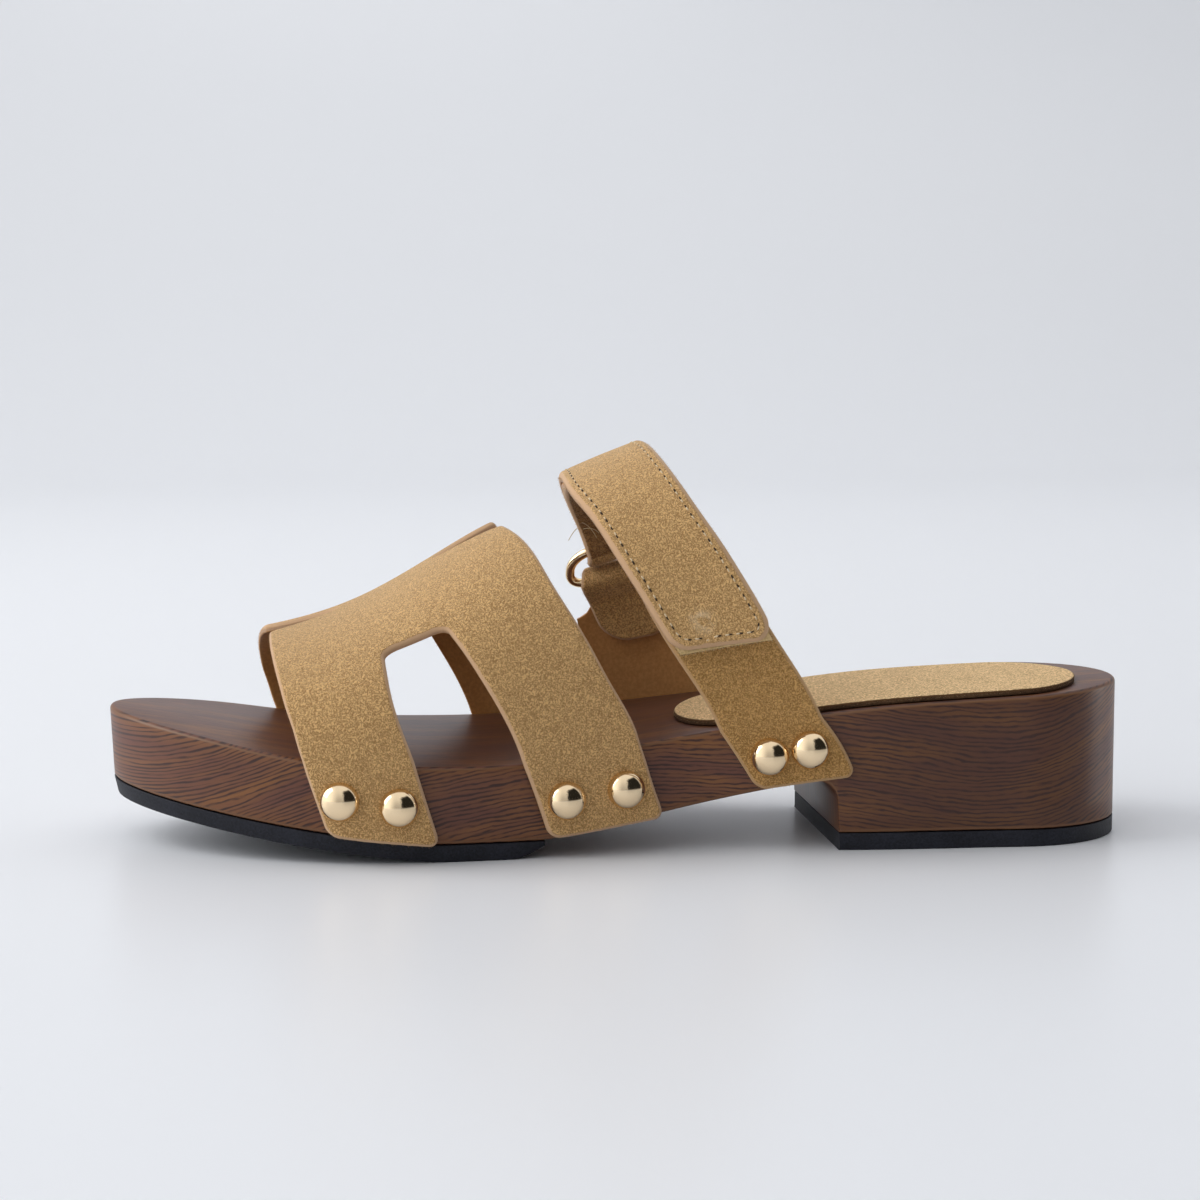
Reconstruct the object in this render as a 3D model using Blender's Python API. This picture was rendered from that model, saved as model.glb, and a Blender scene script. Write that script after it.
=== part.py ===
"""Left slide sandal: wood-look sole with a block heel, suede straps, gold studs and ring.

Toe at -X, heel at +X, outer side of the foot at -Y, floor at Z = 0. Sizes are in millimetres
and become metres when a mesh is made.
"""
import math

import bpy
import numpy as np

MM = 0.001

# Driving sizes
LENGTH = 250.0
HALF_WIDTH = 40.0
TOE_ROUND = 66.0
HEEL_ROUND = 29.0
GAP = 0.3
SHARP_ANGLE = 35.0

# Sole
RUBBER = 4.1
RUBBER_SKIVE = 8.0
RUBBER_THIN = 1.0
FLAT_FROM = -46.0
FLAT_TO = -21.0
TOE_SPRING = 10.9
TOE_SPRING_POWER = 1.2
BREAST_X = 50.6
SHANK_RISE = 13.4
BREAST_FILLET = 5.0
RIM_CHAMFER = 0.8
TOE_TAPER = 0.8
STATIONS = 56

# Straps
STRAP = 2.0
FLAP = 2.5
TAPE = 0.7
SECTION_POWER = 2.25
INNER_LEGS_FORWARD = 6.3
WINDOW_TOP = 43.0
LEG_BOTTOM = -18.6
LEG_CORNER = 2.8
FRONT_LEG_RISE = 1.4
FRONT_NOTCH = 17.0
REAR_NOTCH = 15.0
NOTCH_HALF_ANGLE = 10.0
OUTER_BASE_BOTTOM = -16.0
OUTER_BASE_TOP = 46.0
STRAP_COLUMNS = 7
FLAP_END = 13.8
FLAP_CORNER = 4.5
FLAP_CORNER_ROWS = 4.3
END_SKEW = 1.7
END_SKEW_TO = 32.0
TAPE_FROM = 13.4
TAPE_TO = 40.0
TAPE_INSET = 1.0
FLAP_LIFT = GAP + STRAP + GAP + TAPE + GAP
INNER_BASE_BOTTOM = 195.0

# Ring between the flap and the inner base strap
RING_WIRE = 2.4
RING_UPPER_BAR = 139.6
RING_LOWER_BAR = 149.8
RING_FRONT = -7.3
RING_REAR = 16.2
RING_CORNER = 4.5
RING_STEPS = 6
RING_SIDES = 8
BAR_OFFSET = -RING_WIRE / 2
BAR_CLEAR = 3.0
FOLD_SLACK = 0.35
FLAP_EASE_FROM = 95.0
FLAP_RETURN = 86.0
FLAP_FOLD_CLOSES = 14.0
SHOULDER = 159.5
SHOULDER_STEP = 1.5
TAB_END = 168.0
TAB_ROUND = 6.0
TAB_FOLD_CLOSES = 8.0

# Heel pad
PAD = 1.4
PAD_FRONT = 14.5
PAD_REAR = 114.0
PAD_FRONT_ROUND = 10.0
PAD_REAR_ROUND = 17.0

# Studs
STUD_DIAMETER = 9.2
STUD_HEIGHT = 3.4
STUD_SIDES = 14
STUD_RINGS = 4


def table(columns, *rows):
    """A short table whose columns are read by name."""
    return np.array(list(rows), dtype=[(name, float) for name in columns.split()])


# Sole seen from above: middle line and half widths before the ends are rounded
PLAN = table(
    "x mid outer inner",
    (-125, 4.4, 42.2, 35.6),
    (-95, 3.9, 44.9, 38.2),
    (-60, 0.8, 44.1, 41.2),
    (-25, 1.4, 41.9, 42.0),
    (15, 0.6, 35.4, 31.7),
    (55, -4.8, 33.6, 26.0),
    (95, -5.3, 33.7, 29.5),
    (125, -11.0, 30.2, 31.3),
)

# Height of the sole's upper face
TOP = table(
    "x z",
    (-125, 32.7),
    (-100, 28.6),
    (-75, 24.4),
    (-50, 22.9),
    (-25, 23.0),
    (0, 26.0),
    (25, 29.9),
    (60, 34.8),
    (95, 36.8),
    (125, 38.7),
)

# Ridge of the last above the foot
CREST = table(
    "x y z",
    (-100, 6.5, 46.5),
    (-84.5, 5.8, 49.1),
    (-62, 4.8, 56.1),
    (-42, 3.8, 67.3),
    (-32, 3.3, 73.2),
    (-15, 2.0, 81.5),
    (0, 0.8, 88.2),
    (10, -0.8, 92.3),
    (30, -4.0, 102.0),
    (60, -7.0, 114.0),
)

# Edges of the band on the outer side; "around" is degrees over the arch, millimetres below 0
BAND = table(
    "around front window_front window_rear rear",
    (-18, -72.2, -46.2, -20.3, 7.9),
    (-8, -75.4, -49.3, -23.5, 4.6),
    (2, -78.2, -52.3, -27.2, 1.2),
    (12, -79.8, -55.0, -31.6, -4.6),
    (22, -81.4, -56.8, -36.0, -9.5),
    (33, -82.7, -57.8, -40.2, -14.3),
    (43, -83.7, -58.3, -43.6, -18.0),
    (55, -84.6, -58.6, -46.5, -21.1),
    (68, -85.2, -59.5, -49.0, -24.3),
    (80, -85.3, -60.0, -51.5, -27.0),
    (90, -85.0, -60.3, -53.0, -28.3),
)

# Edges of the outer base strap and of the flap above it
OUTER_BASE = table(
    "around front rear",
    (-16, 30.8, 54.4),
    (-8, 26.3, 50.9),
    (2, 20.1, 44.2),
    (12, 12.9, 36.3),
    (20, 7.9, 31.0),
    (46, -2.0, 17.0),
)
FLAP_EDGES = table(
    "around front rear",
    (12, 12.6, 36.1),
    (14, 11.4, 35.0),
    (19, 8.4, 32.3),
    (28, 3.6, 27.3),
    (36, -0.1, 23.3),
    (45, -3.5, 19.2),
    (57, -7.0, 15.1),
    (69, -9.9, 12.2),
    (90, -10.9, 9.7),
    (112, -9.7, 9.4),
    (126, -6.8, 10.4),
    (138, -3.4, 12.3),
)
INNER_BASE = table(
    "around front rear",
    (195, 9.5, 41.5),
    (180, 3.0, 34.5),
    (172, -1.2, 28.8),
    (164, -4.4, 23.4),
    (160, -5.3, 20.7),
)
TAB = table(
    "around front rear",
    (144, -5.9, 10.6),
    (151, -3.7, 13.1),
    (158, -1.4, 16.2),
    (168, 3.0, 20.2),
)

# Heel pad seen from above
PAD_PLAN = table(
    "x outer inner",
    (14.5, -28.0, 9.0),
    (30, -32.0, 12.0),
    (50, -35.6, 12.5),
    (75, -37.6, 13.0),
    (95, -37.0, 12.5),
    (114, -35.5, 9.0),
)

# Studs: place along the foot and around it
STUDS = table(
    "x around",
    (-69.2, -8.3),
    (-55.8, -9.2),
    (-16.3, -9.7),
    (-1.7, -9.8),
    (33.6, -8.1),
    (43.3, -7.9),
)
INNER_BASE_STUDS = (19.5, 30.0)


def smooth(xs, ys):
    """Natural cubic spline through the rows of a table."""
    order = np.argsort(xs)
    xs, ys = np.asarray(xs)[order], np.asarray(ys)[order]
    step = np.diff(xs)
    slope = np.diff(ys) / step
    count = len(xs)
    matrix = np.eye(count)
    right = np.zeros(count)
    for i in range(1, count - 1):
        matrix[i, i - 1:i + 2] = step[i - 1], 2 * (step[i - 1] + step[i]), step[i]
        right[i] = 6 * (slope[i] - slope[i - 1])
    bend = np.linalg.solve(matrix, right)

    def value(x):
        i = np.clip(np.searchsorted(xs, x) - 1, 0, count - 2)
        t = x - xs[i]
        first = slope[i] - step[i] * (2 * bend[i] + bend[i + 1]) / 6
        return ys[i] + first * t + bend[i] * t**2 / 2 + (bend[i + 1] - bend[i]) * t**3 / (6 * step[i])

    return value


plan_mid = smooth(PLAN["x"], PLAN["mid"])
plan_outer = smooth(PLAN["x"], PLAN["outer"])
plan_inner = smooth(PLAN["x"], PLAN["inner"])
top_height = smooth(TOP["x"], TOP["z"])
crest_y = smooth(CREST["x"], CREST["y"])
crest_z = smooth(CREST["x"], CREST["z"])


def round_end(distance, length):
    """Share of the full width that is left at a distance from a rounded end."""
    return np.sqrt(np.clip(1 - (1 - np.clip(distance / length, 0, 1)) ** 2, 0, 1))


def end_share(x):
    return round_end(x + LENGTH / 2, TOE_ROUND) * round_end(LENGTH / 2 - x, HEEL_ROUND)


def outer_side(x):
    return plan_mid(x) - plan_outer(x) * end_share(x)


def inner_side(x):
    return plan_mid(x) + plan_inner(x) * end_share(x)


def wood_bottom(x):
    """Underside of the sole in front of the heel: toe spring, flat tread, rising shank."""
    base = RUBBER + GAP
    if x < FLAT_FROM:
        return base + TOE_SPRING * ((FLAT_FROM - x) / (FLAT_FROM + LENGTH / 2)) ** TOE_SPRING_POWER
    if x > FLAT_TO:
        t = (x - FLAT_TO) / (BREAST_X - FLAT_TO)
        return base + SHANK_RISE * (0.75 * t + 0.25 * t * t * (3 - 2 * t))
    return base


class Faces:
    """Collects faces by their points; equal points become one vertex, collapsed faces are left out."""

    def __init__(self):
        self.index = {}
        self.points = []
        self.faces = []

    def vertex(self, point):
        key = tuple(round(float(value), 5) for value in point)
        if key not in self.index:
            self.index[key] = len(self.points)
            self.points.append(tuple(float(value) * MM for value in point))
        return self.index[key]

    def add(self, *points):
        ring = []
        for point in points:
            number = self.vertex(point)
            if number not in ring:
                ring.append(number)
        if len(ring) > 2:
            self.faces.append(ring)

    def make(self, name, material):
        mesh = bpy.data.meshes.new(name)
        mesh.from_pydata(self.points, [], self.faces)
        mesh.update()
        mesh.shade_smooth()
        mesh.set_sharp_from_angle(angle=math.radians(SHARP_ANGLE))
        mesh.materials.append(material)
        made = bpy.data.objects.new(name, mesh)
        bpy.context.scene.collection.objects.link(made)
        made.parent = sandal
        return made


def finish(name, colour, roughness, metallic=0.0):
    material = bpy.data.materials.new(name)
    material.use_nodes = True
    shader = material.node_tree.nodes["Principled BSDF"]
    shader.inputs["Base Color"].default_value = (*colour, 1.0)
    shader.inputs["Roughness"].default_value = roughness
    shader.inputs["Metallic"].default_value = metallic
    return material


def slab(rings):
    """Closed body from rings of (outer point, inner point) pairs, listed from top to bottom.

    Every ring has a pair for each station, toe first; pairs that coincide close up.
    """
    body = Faces()
    top, bottom = rings[0], rings[-1]
    for i in range(len(top) - 1):
        (outer, inner), (next_outer, next_inner) = top[i], top[i + 1]
        body.add(outer, next_outer, next_inner, inner)
        (outer, inner), (next_outer, next_inner) = bottom[i], bottom[i + 1]
        body.add(inner, next_inner, next_outer, outer)
        for upper, lower in zip(rings, rings[1:]):
            body.add(upper[i][0], lower[i][0], lower[i + 1][0], upper[i + 1][0])
            body.add(upper[i + 1][1], lower[i + 1][1], lower[i][1], upper[i][1])
    for upper, lower in zip(rings, rings[1:]):
        body.add(upper[0][1], lower[0][1], lower[0][0], upper[0][0])
        body.add(upper[-1][0], lower[-1][0], lower[-1][1], upper[-1][1])
    return body


def pair(x, z, inset=0.0):
    """Outer and inner point of the sole's outline at x, drawn in by an inset."""
    mid = plan_mid(x)
    share = 1 - inset / HALF_WIDTH
    along = x * (1 - inset / (LENGTH / 2))
    return (
        (along, mid + (outer_side(x) - mid) * share, z),
        (along, mid + (inner_side(x) - mid) * share, z),
    )


def toe_inset(x):
    return TOE_TAPER * min(1.0, max(0.0, -x / (LENGTH / 2)))


def stations(start, end, count):
    """Stations between two places, crowded towards both."""
    angles = np.linspace(0, math.pi, count)
    return list(start + (end - start) * (1 - np.cos(angles)) / 2)


def make_sole(material):
    """Path of the underside, with the fillet and the upright breast in front of the heel."""
    fillet_x = BREAST_X - BREAST_FILLET
    path = [(x, wood_bottom(x)) for x in stations(-LENGTH / 2, LENGTH / 2, STATIONS) if x < fillet_x - 1]
    shank_z = wood_bottom(fillet_x)
    for angle in np.linspace(0, math.pi / 2, 6):
        drop = BREAST_FILLET * (1 - math.cos(angle))
        path.append((fillet_x + BREAST_FILLET * math.sin(angle), shank_z - drop))
    heel_z = RUBBER + GAP
    path.append((BREAST_X, heel_z))
    path += [(x, heel_z) for x in stations(-LENGTH / 2, LENGTH / 2, STATIONS) if x > BREAST_X + 1]
    rings = [
        [pair(x, top_height(x), RIM_CHAMFER) for x, z in path],
        [pair(x, top_height(x) - RIM_CHAMFER) for x, z in path],
        [pair(x, z, toe_inset(x)) for x, z in path],
    ]
    return slab(rings).make("sole", material)


def rubber_depth(x):
    """Thickness of the forefoot rubber, which is pared down to its rear end."""
    share = min(1.0, max(0.0, 1 - (FLAT_TO - x) / RUBBER_SKIVE))
    return RUBBER - (RUBBER - RUBBER_THIN) * share**1.5


def make_outsoles(material):
    pared_from = FLAT_TO - RUBBER_SKIVE
    xs = stations(-LENGTH / 2, 2 * FLAT_TO + LENGTH / 2, STATIONS)
    xs = sorted([x for x in xs if x < pared_from - 1] + [FLAT_FROM])
    xs += list(np.linspace(pared_from, FLAT_TO, 6))
    slab([
        [pair(x, wood_bottom(x) - GAP, toe_inset(x)) for x in xs],
        [pair(x, wood_bottom(x) - GAP - rubber_depth(x), 2 * toe_inset(x)) for x in xs],
    ]).make("outsole_forefoot", material)
    xs = [BREAST_X] + [x for x in stations(-LENGTH / 2, LENGTH / 2, STATIONS) if x > BREAST_X + 1]
    slab([[pair(x, z) for x in xs] for z in (RUBBER, 0.0)]).make("outsole_heel", material)


def make_pad(material):
    outer = smooth(PAD_PLAN["x"], PAD_PLAN["outer"])
    inner = smooth(PAD_PLAN["x"], PAD_PLAN["inner"])

    def pad_pair(x, height):
        mid = (outer(x) + inner(x)) / 2
        share = round_end(x - PAD_FRONT, PAD_FRONT_ROUND) * round_end(PAD_REAR - x, PAD_REAR_ROUND)
        z = top_height(x) + height
        return (x, mid + (outer(x) - mid) * share, z), (x, mid + (inner(x) - mid) * share, z)

    xs = stations(PAD_FRONT, PAD_REAR, 30)
    slab([[pad_pair(x, height) for x in xs] for height in (GAP + PAD, GAP)]).make("insole_pad", material)


def last_point(x, around):
    """Point of the last: 0 outer sole edge, 90 ridge, 180 inner sole edge, beyond that down the sides."""
    edge = top_height(x)
    angle = np.radians(np.clip(around, 0, 180))
    side = np.where(around < 90, outer_side(x), inner_side(x))
    y = crest_y(x) + (side - crest_y(x)) * np.abs(np.cos(angle)) ** (2 / SECTION_POWER)
    z = edge + (crest_z(x) - edge) * np.abs(np.sin(angle)) ** (2 / SECTION_POWER)
    z = z + np.minimum(around, 0) + np.minimum(180 - around, 0)
    return np.stack([x + 0 * z, y, z], axis=-1)


def last_frame(x, around):
    """Point, tangent towards the inner side, and outward normal of the last."""
    delta = 0.05
    point = last_point(x, around)
    along = last_point(x + delta, around) - last_point(x - delta, around)
    across = last_point(x, around + delta) - last_point(x, around - delta)
    normal = np.cross(along, across)
    normal /= np.linalg.norm(normal, axis=-1, keepdims=True)
    across /= np.linalg.norm(across, axis=-1, keepdims=True)
    return point, across, normal


def on_last(x, around, offset):
    point, _, normal = last_frame(np.asarray(x, float), np.asarray(around, float))
    return point + normal * np.asarray(offset)[..., None]


def sheet(outer, inner, keep=None):
    """Closed wall between two grids of points; cells that are not kept are openings."""
    rows, columns = outer.shape[0] - 1, outer.shape[1] - 1
    if keep is None:
        keep = np.ones((rows, columns), bool)
    body = Faces()
    padded = np.pad(keep, 1)
    for i in range(rows):
        for j in range(columns):
            if not keep[i, j]:
                continue
            a, b, c, d = (i, j), (i, j + 1), (i + 1, j + 1), (i + 1, j)
            body.add(outer[a], outer[b], outer[c], outer[d])
            body.add(inner[d], inner[c], inner[b], inner[a])
            neighbours = (
                (padded[i, j + 1], a, b),
                (padded[i + 1, j + 2], b, c),
                (padded[i + 2, j + 1], c, d),
                (padded[i + 1, j], d, a),
            )
            for kept, start, end in neighbours:
                if not kept:
                    body.add(outer[start], inner[start], inner[end], outer[end])
    return body


def ease(share):
    """Soft step from 0 to 1."""
    share = np.clip(share, 0, 1)
    return share * share * (3 - 2 * share)


def corner(distance, length, depth):
    """How far an edge draws in at a distance from a rounded corner's end."""
    share = np.clip(1 - distance / length, 0, 1)
    return depth * (1 - np.sqrt(np.clip(1 - share**2, 0, 1)))


def rows_between(start, end, count):
    """Rows from an end with a rounded corner to a plain end, crowded at the corner."""
    return start + (end - start) * (1 - np.cos(np.linspace(0, math.pi / 2, count)))


def spread(front, rear, columns):
    """Places across a strap from its front edge to its rear edge."""
    share = np.linspace(0, 1, columns)
    return np.asarray(front)[:, None] + np.asarray(rear - front)[:, None] * share[None, :]


def band_edges(around):
    """The four edge lines of the band at rows around the foot, notches and corners included."""
    mirrored = np.where(around > 90, 180 - around, around)
    drop = np.where(around > 90, np.abs(np.cos(np.radians(np.clip(around, 90, 180)))), 0.0)
    forward = -INNER_LEGS_FORWARD * drop
    front, window_front, window_rear, rear = (
        smooth(BAND["around"], BAND[name])(mirrored) + forward
        for name in ("front", "window_front", "window_rear", "rear")
    )
    bell = 0.5 + 0.5 * np.cos(math.pi * np.clip(np.abs(around - 90) / NOTCH_HALF_ANGLE, 0, 1))
    front = front + FRONT_NOTCH * bell
    rear = rear - REAR_NOTCH * bell
    tuck = corner(mirrored - LEG_BOTTOM, LEG_CORNER, LEG_CORNER)
    legs = np.where(mirrored <= WINDOW_TOP, corner(WINDOW_TOP - mirrored, LEG_CORNER, LEG_CORNER), LEG_CORNER)
    return front + tuck, window_front - tuck + legs, window_rear + tuck - legs, rear - tuck


def make_band(material):
    leg = np.concatenate([
        LEG_BOTTOM + LEG_CORNER * (1 - np.cos(np.linspace(0, math.pi / 2, 5))),
        np.linspace(LEG_BOTTOM + LEG_CORNER, WINDOW_TOP - LEG_CORNER, 11)[1:],
        WINDOW_TOP - LEG_CORNER * np.cos(np.linspace(0, math.pi / 2, 4))[1:],
    ])
    bridge = np.concatenate([
        np.linspace(WINDOW_TOP, 90 - NOTCH_HALF_ANGLE, 8)[1:],
        np.linspace(90 - NOTCH_HALF_ANGLE, 90, 8)[1:],
    ])
    half = np.concatenate([leg, bridge])
    around = np.concatenate([half, 180 - half[-2::-1]])
    front, window_front, window_rear, rear = band_edges(around)
    leg_columns, window_columns = 7, 5
    x = np.concatenate([
        spread(front, window_front, leg_columns),
        spread(window_front, window_rear, window_columns)[:, 1:],
        spread(window_rear, rear, leg_columns)[:, 1:],
    ], axis=1)
    mirrored = np.minimum(around, 180 - around)
    rise = np.zeros(x.shape[1])
    rise[:leg_columns] = FRONT_LEG_RISE * np.linspace(1, 0, leg_columns)
    low = np.sign(90 - around) * np.clip(mirrored / LEG_BOTTOM, 0, 1)
    rows = around[:, None] + low[:, None] * rise[None, :]
    keep = np.ones((x.shape[0] - 1, x.shape[1] - 1), bool)
    open_rows = np.minimum(mirrored[:-1], mirrored[1:]) < WINDOW_TOP - 1e-6
    keep[open_rows, leg_columns - 1:leg_columns + window_columns - 2] = False
    sheet(on_last(x, rows, GAP + STRAP), on_last(x, rows, GAP), keep).make("upper_h_band", material)


def make_outer_base(material):
    around = np.concatenate([
        rows_between(OUTER_BASE_BOTTOM, OUTER_BASE_BOTTOM + LEG_CORNER, 5),
        np.linspace(OUTER_BASE_BOTTOM + LEG_CORNER, OUTER_BASE_TOP, 14)[1:],
    ])
    tuck = corner(around - OUTER_BASE_BOTTOM, LEG_CORNER, LEG_CORNER)
    front = smooth(OUTER_BASE["around"], OUTER_BASE["front"])(around) + tuck
    rear = smooth(OUTER_BASE["around"], OUTER_BASE["rear"])(around) - tuck
    x = spread(front, rear, STRAP_COLUMNS)
    rows = around[:, None] + 0 * x
    sheet(on_last(x, rows, GAP + STRAP), on_last(x, rows, GAP)).make("strap_outer_base", material)


def skewed(around, end):
    """Rows at the front edge of a strap whose end is cut a little higher there than at the rear."""
    return around + END_SKEW * np.clip((END_SKEW_TO - around) / (END_SKEW_TO - end), 0, 1)


def make_tape(material):
    around = np.linspace(TAPE_FROM, TAPE_TO, 9)
    front_rows = skewed(around, TAPE_FROM)
    front = smooth(OUTER_BASE["around"], OUTER_BASE["front"])(front_rows) + TAPE_INSET
    rear = smooth(OUTER_BASE["around"], OUTER_BASE["rear"])(around) - TAPE_INSET
    x = spread(front, rear, STRAP_COLUMNS)
    rows = spread(front_rows, around, STRAP_COLUMNS)
    lower = GAP + STRAP + GAP
    sheet(on_last(x, rows, lower + TAPE), on_last(x, rows, lower)).make("fastener_tape", material)


def turn_round_bar(x, bar, thickness, downwards):
    """Rows of a strap round a bar of the ring, from its outer side to its inner side."""
    point, across, normal = last_frame(x, bar + 0 * x)
    centre = point + normal * BAR_OFFSET
    direction = across if downwards else -across
    inner_radius = RING_WIRE / 2 + GAP + FOLD_SLACK
    outside, inside = [], []
    for angle in np.linspace(0, math.pi, 9):
        ray = normal * math.cos(angle) + direction * math.sin(angle)
        outside.append(centre + ray * (inner_radius + thickness))
        inside.append(centre + ray * inner_radius)
    return outside, inside


def flap_lift(rows):
    """Height of the flap's inner face: over the tape at first, down on the last at the ring."""
    share = (rows - FLAP_EASE_FROM) / (RING_UPPER_BAR - BAR_CLEAR - FLAP_EASE_FROM)
    return FLAP_LIFT + (GAP - FLAP_LIFT) * ease(share)


def make_flap(material):
    """Flap over the instep: rounded free end, down to the ring, round its bar and back up inside."""
    around = np.concatenate([
        rows_between(FLAP_END, FLAP_END + FLAP_CORNER_ROWS, 5),
        np.linspace(FLAP_END + FLAP_CORNER_ROWS, RING_UPPER_BAR - BAR_CLEAR, 24)[1:],
    ])
    front_line = smooth(FLAP_EDGES["around"], FLAP_EDGES["front"])
    rear_line = smooth(FLAP_EDGES["around"], FLAP_EDGES["rear"])
    tuck = corner(around - FLAP_END, FLAP_CORNER_ROWS, FLAP_CORNER)
    front_rows = skewed(around, FLAP_END)
    x = spread(front_line(front_rows) + tuck, rear_line(around) - tuck, STRAP_COLUMNS)
    rows = spread(front_rows, around, STRAP_COLUMNS)
    lift = flap_lift(rows)
    outside = list(on_last(x, rows, lift + FLAP))
    inside = list(on_last(x, rows, lift))
    bar = np.array([RING_UPPER_BAR])
    bar_x = spread(front_line(bar), rear_line(bar), STRAP_COLUMNS)[0]
    turned_outside, turned_inside = turn_round_bar(bar_x, RING_UPPER_BAR, FLAP, True)
    outside += turned_outside
    inside += turned_inside
    back = np.linspace(RING_UPPER_BAR - BAR_CLEAR - 1, FLAP_RETURN, 14)
    x = spread(front_line(back), rear_line(back), STRAP_COLUMNS)
    rows = back[:, None] + 0 * x
    under_strap = flap_lift(rows) - GAP
    under_bar = BAR_OFFSET - RING_WIRE / 2 - GAP - FOLD_SLACK
    near = under_bar + (under_strap - under_bar) * ease((RING_UPPER_BAR - rows) / FLAP_FOLD_CLOSES)
    outside += list(on_last(x, rows, near - FLAP))
    inside += list(on_last(x, rows, near))
    return sheet(np.array(outside), np.array(inside)).make("strap_flap", material)


def make_inner_base(material):
    """Inner base strap up to its shoulder, then the tab over the ring's lower bar and down inside."""
    wide = np.concatenate([
        INNER_BASE_BOTTOM - rows_between(0, LEG_CORNER, 5),
        np.linspace(INNER_BASE_BOTTOM - LEG_CORNER, SHOULDER + 1, 12)[1:],
    ])
    tuck = corner(INNER_BASE_BOTTOM - wide, LEG_CORNER, LEG_CORNER)
    front = list(smooth(INNER_BASE["around"], INNER_BASE["front"])(wide) + tuck)
    rear = list(smooth(INNER_BASE["around"], INNER_BASE["rear"])(wide) - tuck)
    tab_front = smooth(TAB["around"], TAB["front"])
    tab_rear = smooth(TAB["around"], TAB["rear"])
    top = RING_LOWER_BAR + BAR_CLEAR / 2
    narrow = np.array([SHOULDER, SHOULDER - SHOULDER_STEP, (SHOULDER + top) / 2, top])
    width_left = np.array([0.45, 0.1, 0.0, 0.0])
    front += list(tab_front(narrow) + width_left * (front[-1] - tab_front(SHOULDER)))
    rear += list(tab_rear(narrow) + width_left * (rear[-1] - tab_rear(SHOULDER)))
    around = np.concatenate([wide, narrow])
    x = spread(np.array(rear), np.array(front), STRAP_COLUMNS)
    rows = around[:, None] + 0 * x
    outside = list(on_last(x, rows, GAP + STRAP))
    inside = list(on_last(x, rows, GAP))
    bar = np.array([RING_LOWER_BAR])
    bar_x = spread(tab_rear(bar), tab_front(bar), STRAP_COLUMNS)[0]
    turned_outside, turned_inside = turn_round_bar(bar_x, RING_LOWER_BAR, STRAP, False)
    outside += turned_outside
    inside += turned_inside
    back = np.concatenate([
        np.linspace(RING_LOWER_BAR + BAR_CLEAR - 1, TAB_END - TAB_ROUND, 5),
        TAB_END - rows_between(0, TAB_ROUND, 5)[::-1][1:],
    ])
    tuck = corner(TAB_END - back, TAB_ROUND, TAB_ROUND)
    x = spread(tab_rear(back) - tuck, tab_front(back) + tuck, STRAP_COLUMNS)
    rows = back[:, None] + 0 * x
    under_bar = BAR_OFFSET - RING_WIRE / 2 - GAP - FOLD_SLACK
    near = under_bar * (1 - ease((rows - RING_LOWER_BAR) / TAB_FOLD_CLOSES))
    outside += list(on_last(x, rows, near - STRAP))
    inside += list(on_last(x, rows, near))
    return sheet(np.array(outside), np.array(inside)).make("strap_inner_base", material)


def make_ring(material):
    """Wire loop laid on the last: two bars across the strap, joined by rounded ends."""
    half = (RING_LOWER_BAR - RING_UPPER_BAR) / 2
    middle = (RING_LOWER_BAR + RING_UPPER_BAR) / 2
    corners = (
        (RING_FRONT + RING_CORNER, 180, 270, -1),
        (RING_REAR - RING_CORNER, 270, 360, -1),
        (RING_REAR - RING_CORNER, 0, 90, 1),
        (RING_FRONT + RING_CORNER, 90, 180, 1),
    )
    straight = half - RING_CORNER
    path = []
    for x, start, end, side in corners:
        turns = np.radians(np.linspace(start, end, RING_STEPS))
        path += [
            (x + RING_CORNER * math.cos(angle), middle + side * straight + RING_CORNER * math.sin(angle))
            for angle in turns
        ]
        if end in (270, 90):
            reach = RING_REAR - RING_FRONT - 2 * RING_CORNER
            heading = 1 if end == 270 else -1
            steps = range(1, RING_STEPS)
            path += [(x + heading * reach * k / RING_STEPS, middle + side * half) for k in steps]
    path = np.array(path)
    centre = on_last(path[:, 0], path[:, 1], BAR_OFFSET)
    normal = last_frame(path[:, 0], path[:, 1])[2]
    tangent = np.roll(centre, -1, axis=0) - np.roll(centre, 1, axis=0)
    tangent /= np.linalg.norm(tangent, axis=1, keepdims=True)
    side = np.cross(tangent, normal)
    side /= np.linalg.norm(side, axis=1, keepdims=True)
    normal = np.cross(side, tangent)
    body = Faces()
    tube = []
    for k in range(RING_SIDES):
        angle = 2 * math.pi * k / RING_SIDES
        tube.append(centre + RING_WIRE / 2 * (normal * math.cos(angle) + side * math.sin(angle)))
    count = len(path)
    for i in range(count):
        for k in range(RING_SIDES):
            a, b = tube[k], tube[(k + 1) % RING_SIDES]
            body.add(a[i], b[i], b[(i + 1) % count], a[(i + 1) % count])
    return body.make("strap_ring", material)


def make_stud(name, x, around, material):
    """Domed head standing on a strap's face, its flat back one gap off the suede."""
    seat = on_last(np.array(x), np.array(around), GAP + STRAP + GAP)
    _, up, normal = last_frame(np.array(x), np.array(around))
    side = np.cross(up, normal)
    radius = STUD_DIAMETER / 2
    body = Faces()
    rings = []
    for angle in np.linspace(0, math.pi / 2, STUD_RINGS + 1):
        ring = []
        for k in range(STUD_SIDES):
            turn = 2 * math.pi * k / STUD_SIDES
            spoke = side * math.cos(turn) + up * math.sin(turn)
            ring.append(seat + spoke * radius * math.cos(angle) + normal * STUD_HEIGHT * math.sin(angle))
        rings.append(ring)
    for lower, upper in zip(rings, rings[1:]):
        for k in range(STUD_SIDES):
            n = (k + 1) % STUD_SIDES
            body.add(lower[k], lower[n], upper[n], upper[k])
    body.add(*reversed(rings[0]))
    return body.make(name, material)


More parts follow.
